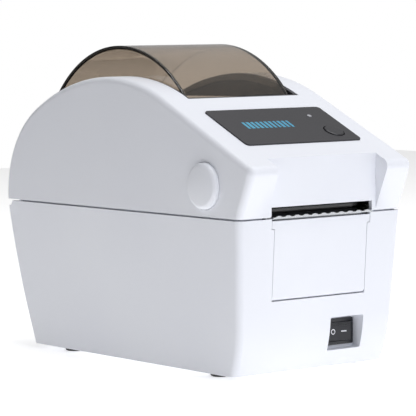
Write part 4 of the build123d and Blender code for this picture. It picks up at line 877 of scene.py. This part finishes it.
def coil_tree():
    """A compression spring along Z: a helix of round wire."""
    tree, sizes = new_tree("Wire_coil", {
        "Turns": "Float", "Radius": "Float", "Length": "Float", "Wire": "Float", "Material": "Material",
    })
    helix = add_node(
        tree, "GeometryNodeCurveSpiral",
        {
            "Resolution": 40, "Rotations": sizes["Turns"], "Start Radius": sizes["Radius"],
            "End Radius": sizes["Radius"], "Height": sizes["Length"],
        },
    )
    section = add_node(
        tree, "GeometryNodeCurvePrimitiveCircle", {"Resolution": 12, "Radius": sizes["Wire"]}
    )
    wire = add_node(
        tree, "GeometryNodeCurveToMesh",
        {"Curve": helix.outputs[0], "Profile Curve": section.outputs[0], "Fill Caps": True},
    )
    end_tree(tree, wire.outputs[0], sizes["Material"])
    return tree


wire_coil = coil_tree()
spring_wire = plated_steel("Spring_steel_drawn", "#8E9095", 0.28, spangle=4 * MM)


def coil(turns, radius, length, wire, place):
    """One spring's mesh, set by the matrix place."""
    mesh = grown(wire_coil, {
        "Turns": turns, "Radius": radius, "Length": length, "Wire": wire / 2, "Material": spring_wire,
    })
    mesh.transform(place)
    return mesh


HEAD_WIRE = 0.7 * MM
COIL_TURNS = 6.0
spring_low, spring_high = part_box("head_springs")
head_radius = (spring_high.y - spring_low.y - HEAD_WIRE) / 2
pair = bmesh.new()
for x in (spring_low.x + head_radius + HEAD_WIRE / 2, spring_high.x - head_radius - HEAD_WIRE / 2):
    stand = Matrix.Translation((x, (spring_low.y + spring_high.y) / 2, spring_low.z + HEAD_WIRE / 2))
    run = spring_high.z - spring_low.z - HEAD_WIRE
    pair.from_mesh(coil(COIL_TURNS, head_radius, run, HEAD_WIRE, stand))
finished(pair, "head_coil_springs", spring_wire, "head_springs")

# ------------------------------------------------------------------ lid release
# Round white ABS buttons in both cheeks with a soft shoulder and a shallow dome, each with its
# spring, its acetal latch hook and the bracket behind it.
BUTTON_WIRE = 0.9 * MM
COIL_SHORT = 1.2 * MM    # left between coil and cap, so that a pressed cap still hides the coil
FLANGE = 1.6 * MM        # the flange's thickness, and how far it stands out round the cap
HOLLOW_IN = 3.8 * MM     # from the flange's edge in to the hollow
POST_R = 3.4 * MM        # the post in the middle of the hollow
FACE_T = 2.6 * MM        # from the bottom of the hollow to the top of the dome
SHOULDER_R = 3.0 * MM
DOME = 0.7 * MM
DOME_STEPS = (0.9, 0.75, 0.6, 0.4, 0.2, 0.0)
for side, hand in ((-1, "left"), (1, "right")):
    low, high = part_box(f"release_button_{hand}")
    back, face = (high.x, low.x) if side < 0 else (low.x, high.x)
    centre = Vector((back, (low.y + high.y) / 2, (low.z + high.z) / 2))
    length = abs(face - back)
    flange_r = (high.z - low.z) / 2
    cap_r, hollow_r = flange_r - FLANGE, flange_r - HOLLOW_IN
    shoulder = [
        (length - DOME - SHOULDER_R * (1 - math.sin(a)), cap_r - SHOULDER_R * (1 - math.cos(a)))
        for a in (math.radians(9 * k) for k in range(11))
    ]
    dome = [(length - DOME * (step ** 2), (cap_r - SHOULDER_R) * step) for step in DOME_STEPS]
    bottom = length - FACE_T
    inside = [(0, 0), (0, POST_R), (bottom, POST_R), (bottom, hollow_r), (0, hollow_r)]
    flange = [(0, flange_r), (FLANGE, flange_r), (FLANGE, cap_r)]
    cap = bmesh.new()
    turned(cap, inside + flange + shoulder + dome, centre, (side, 0, 0), 96)
    finished(cap, f"release_cap_{hand}", white_abs, f"release_button_{hand}")
    eased(f"latch_hook_{hand}", f"latch_arm_{hand}", 0.2 * MM, acetal)
    eased(f"release_bracket_{hand}", f"spring_bracket_{hand}", 0.25 * MM, dark_abs)
    low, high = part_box(f"release_spring_{hand}")
    radius = (high.y - low.y - BUTTON_WIRE) / 2
    near_x = low.x + BUTTON_WIRE / 2 + (COIL_SHORT if side < 0 else 0)
    lie = Matrix.Translation((near_x, (low.y + high.y) / 2, (low.z + high.z) / 2))
    coil_run = high.x - low.x - BUTTON_WIRE - COIL_SHORT
    lie = lie @ Matrix.Rotation(math.pi / 2, 4, "Y")
    spring = coil(COIL_TURNS, radius, coil_run, BUTTON_WIRE, lie)
    placed(spring, f"button_coil_spring_{hand}", spring_wire, f"release_spring_{hand}")

# ------------------------------------------------------------------ studio
# A white table and sky, one large soft lamp at the front and a wide one overhead. The table
# glows a little, so that it stays nearly white.
floor_mesh = bpy.data.meshes.new("studio_floor")
FLOOR = 1.6
FLOOR_GLOW = 0.49
floor_mesh.from_pydata(
    [(-FLOOR, -FLOOR, 0), (FLOOR, -FLOOR, 0), (FLOOR, FLOOR, 0), (-FLOOR, FLOOR, 0)], [], [(0, 1, 2, 3)]
)
floor = bpy.data.objects.new("studio_floor", floor_mesh)
bpy.context.scene.collection.objects.link(floor)
paper = moulded_plastic("Paper_white_matt", "#FAFAFA", "#F7F7F8", 0.85, grain=2 * MM)
paper_face = next(n for n in paper.node_tree.nodes if n.bl_idname == "ShaderNodeBsdfPrincipled")
paper_face.inputs["Emission Color"].default_value = linear("#FFFFFF")
paper_face.inputs["Emission Strength"].default_value = FLOOR_GLOW
floor_mesh.materials.append(paper)

world = bpy.data.worlds.new("Studio_sky")
bpy.context.scene.world = world
world.use_nodes = True
sky = world.node_tree
sky.nodes.clear()
# Its light on the printer grows from left to right. Seen directly, or through the window, the
# sky is plain white.
SHADE, LIT = 0.03, 0.46
direction = add_node(sky, "ShaderNodeTexCoord")
parts = add_node(sky, "ShaderNodeSeparateXYZ", {"Vector": direction.outputs["Generated"]})
across = add_node(
    sky, "ShaderNodeMapRange",
    {
        "Value": parts.outputs["X"], "From Min": -0.5, "From Max": 0.6, "To Min": SHADE, "To Max": LIT,
    },
)
path = add_node(sky, "ShaderNodeLightPath")
seen = add_node(
    sky, "ShaderNodeMath",
    {0: path.outputs["Is Camera Ray"], 1: path.outputs["Is Transmission Ray"]},
    operation="MAXIMUM",
)
strength = add_node(sky, "ShaderNodeMix", {0: seen.outputs[0], 2: across.outputs[0], 3: 1.0})
glow = add_node(
    sky, "ShaderNodeBackground", {"Color": linear("#FFFFFF"), "Strength": strength.outputs[0]}
)
add_node(sky, "ShaderNodeOutputWorld", {"Surface": glow.outputs[0]})


def soft_lamp(name, place, aim, size, power, colour="#FFFFFF"):
    """A square area lamp that faces aim."""
    data = bpy.data.lights.new(name, "AREA")
    data.size, data.energy, data.color = size, power, linear(colour)[:3]
    lamp = bpy.data.objects.new(name, data)
    lamp.location = place
    lamp.rotation_euler = (Vector(aim) - Vector(place)).to_track_quat("-Z", "Y").to_euler()
    bpy.context.scene.collection.objects.link(lamp)


MIDDLE = (0, 0, 0.09)
soft_lamp("key_lamp", (-0.05, -1.6, 0.9), MIDDLE, 0.7, 6.6, "#F1F5FF")
soft_lamp("top_lamp", (0.1, -0.2, 1.6), MIDDLE, 1.2, 18, "#FFFFFF")

# ------------------------------------------------------------------ camera
# Long lens at the front left, a little above the lid's seam.
camera_data = bpy.data.cameras.new("camera")
camera_data.lens = 205.7
camera_data.clip_start, camera_data.clip_end = 0.05, 50
camera = bpy.data.objects.new("camera", camera_data)
camera.location = (-0.8701, -1.0949, 0.198)
CAMERA_AIM = Vector((0.0011, -0.0045, 0.0879))
CAMERA_ROLL = math.radians(-0.48)
look = (CAMERA_AIM - camera.location).to_track_quat("-Z", "Y")
camera.rotation_euler = (look.to_matrix() @ Euler((0, 0, CAMERA_ROLL)).to_matrix()).to_euler()
bpy.context.scene.collection.objects.link(camera)
bpy.context.scene.camera = camera
bpy.context.scene.view_settings.view_transform = "Standard"
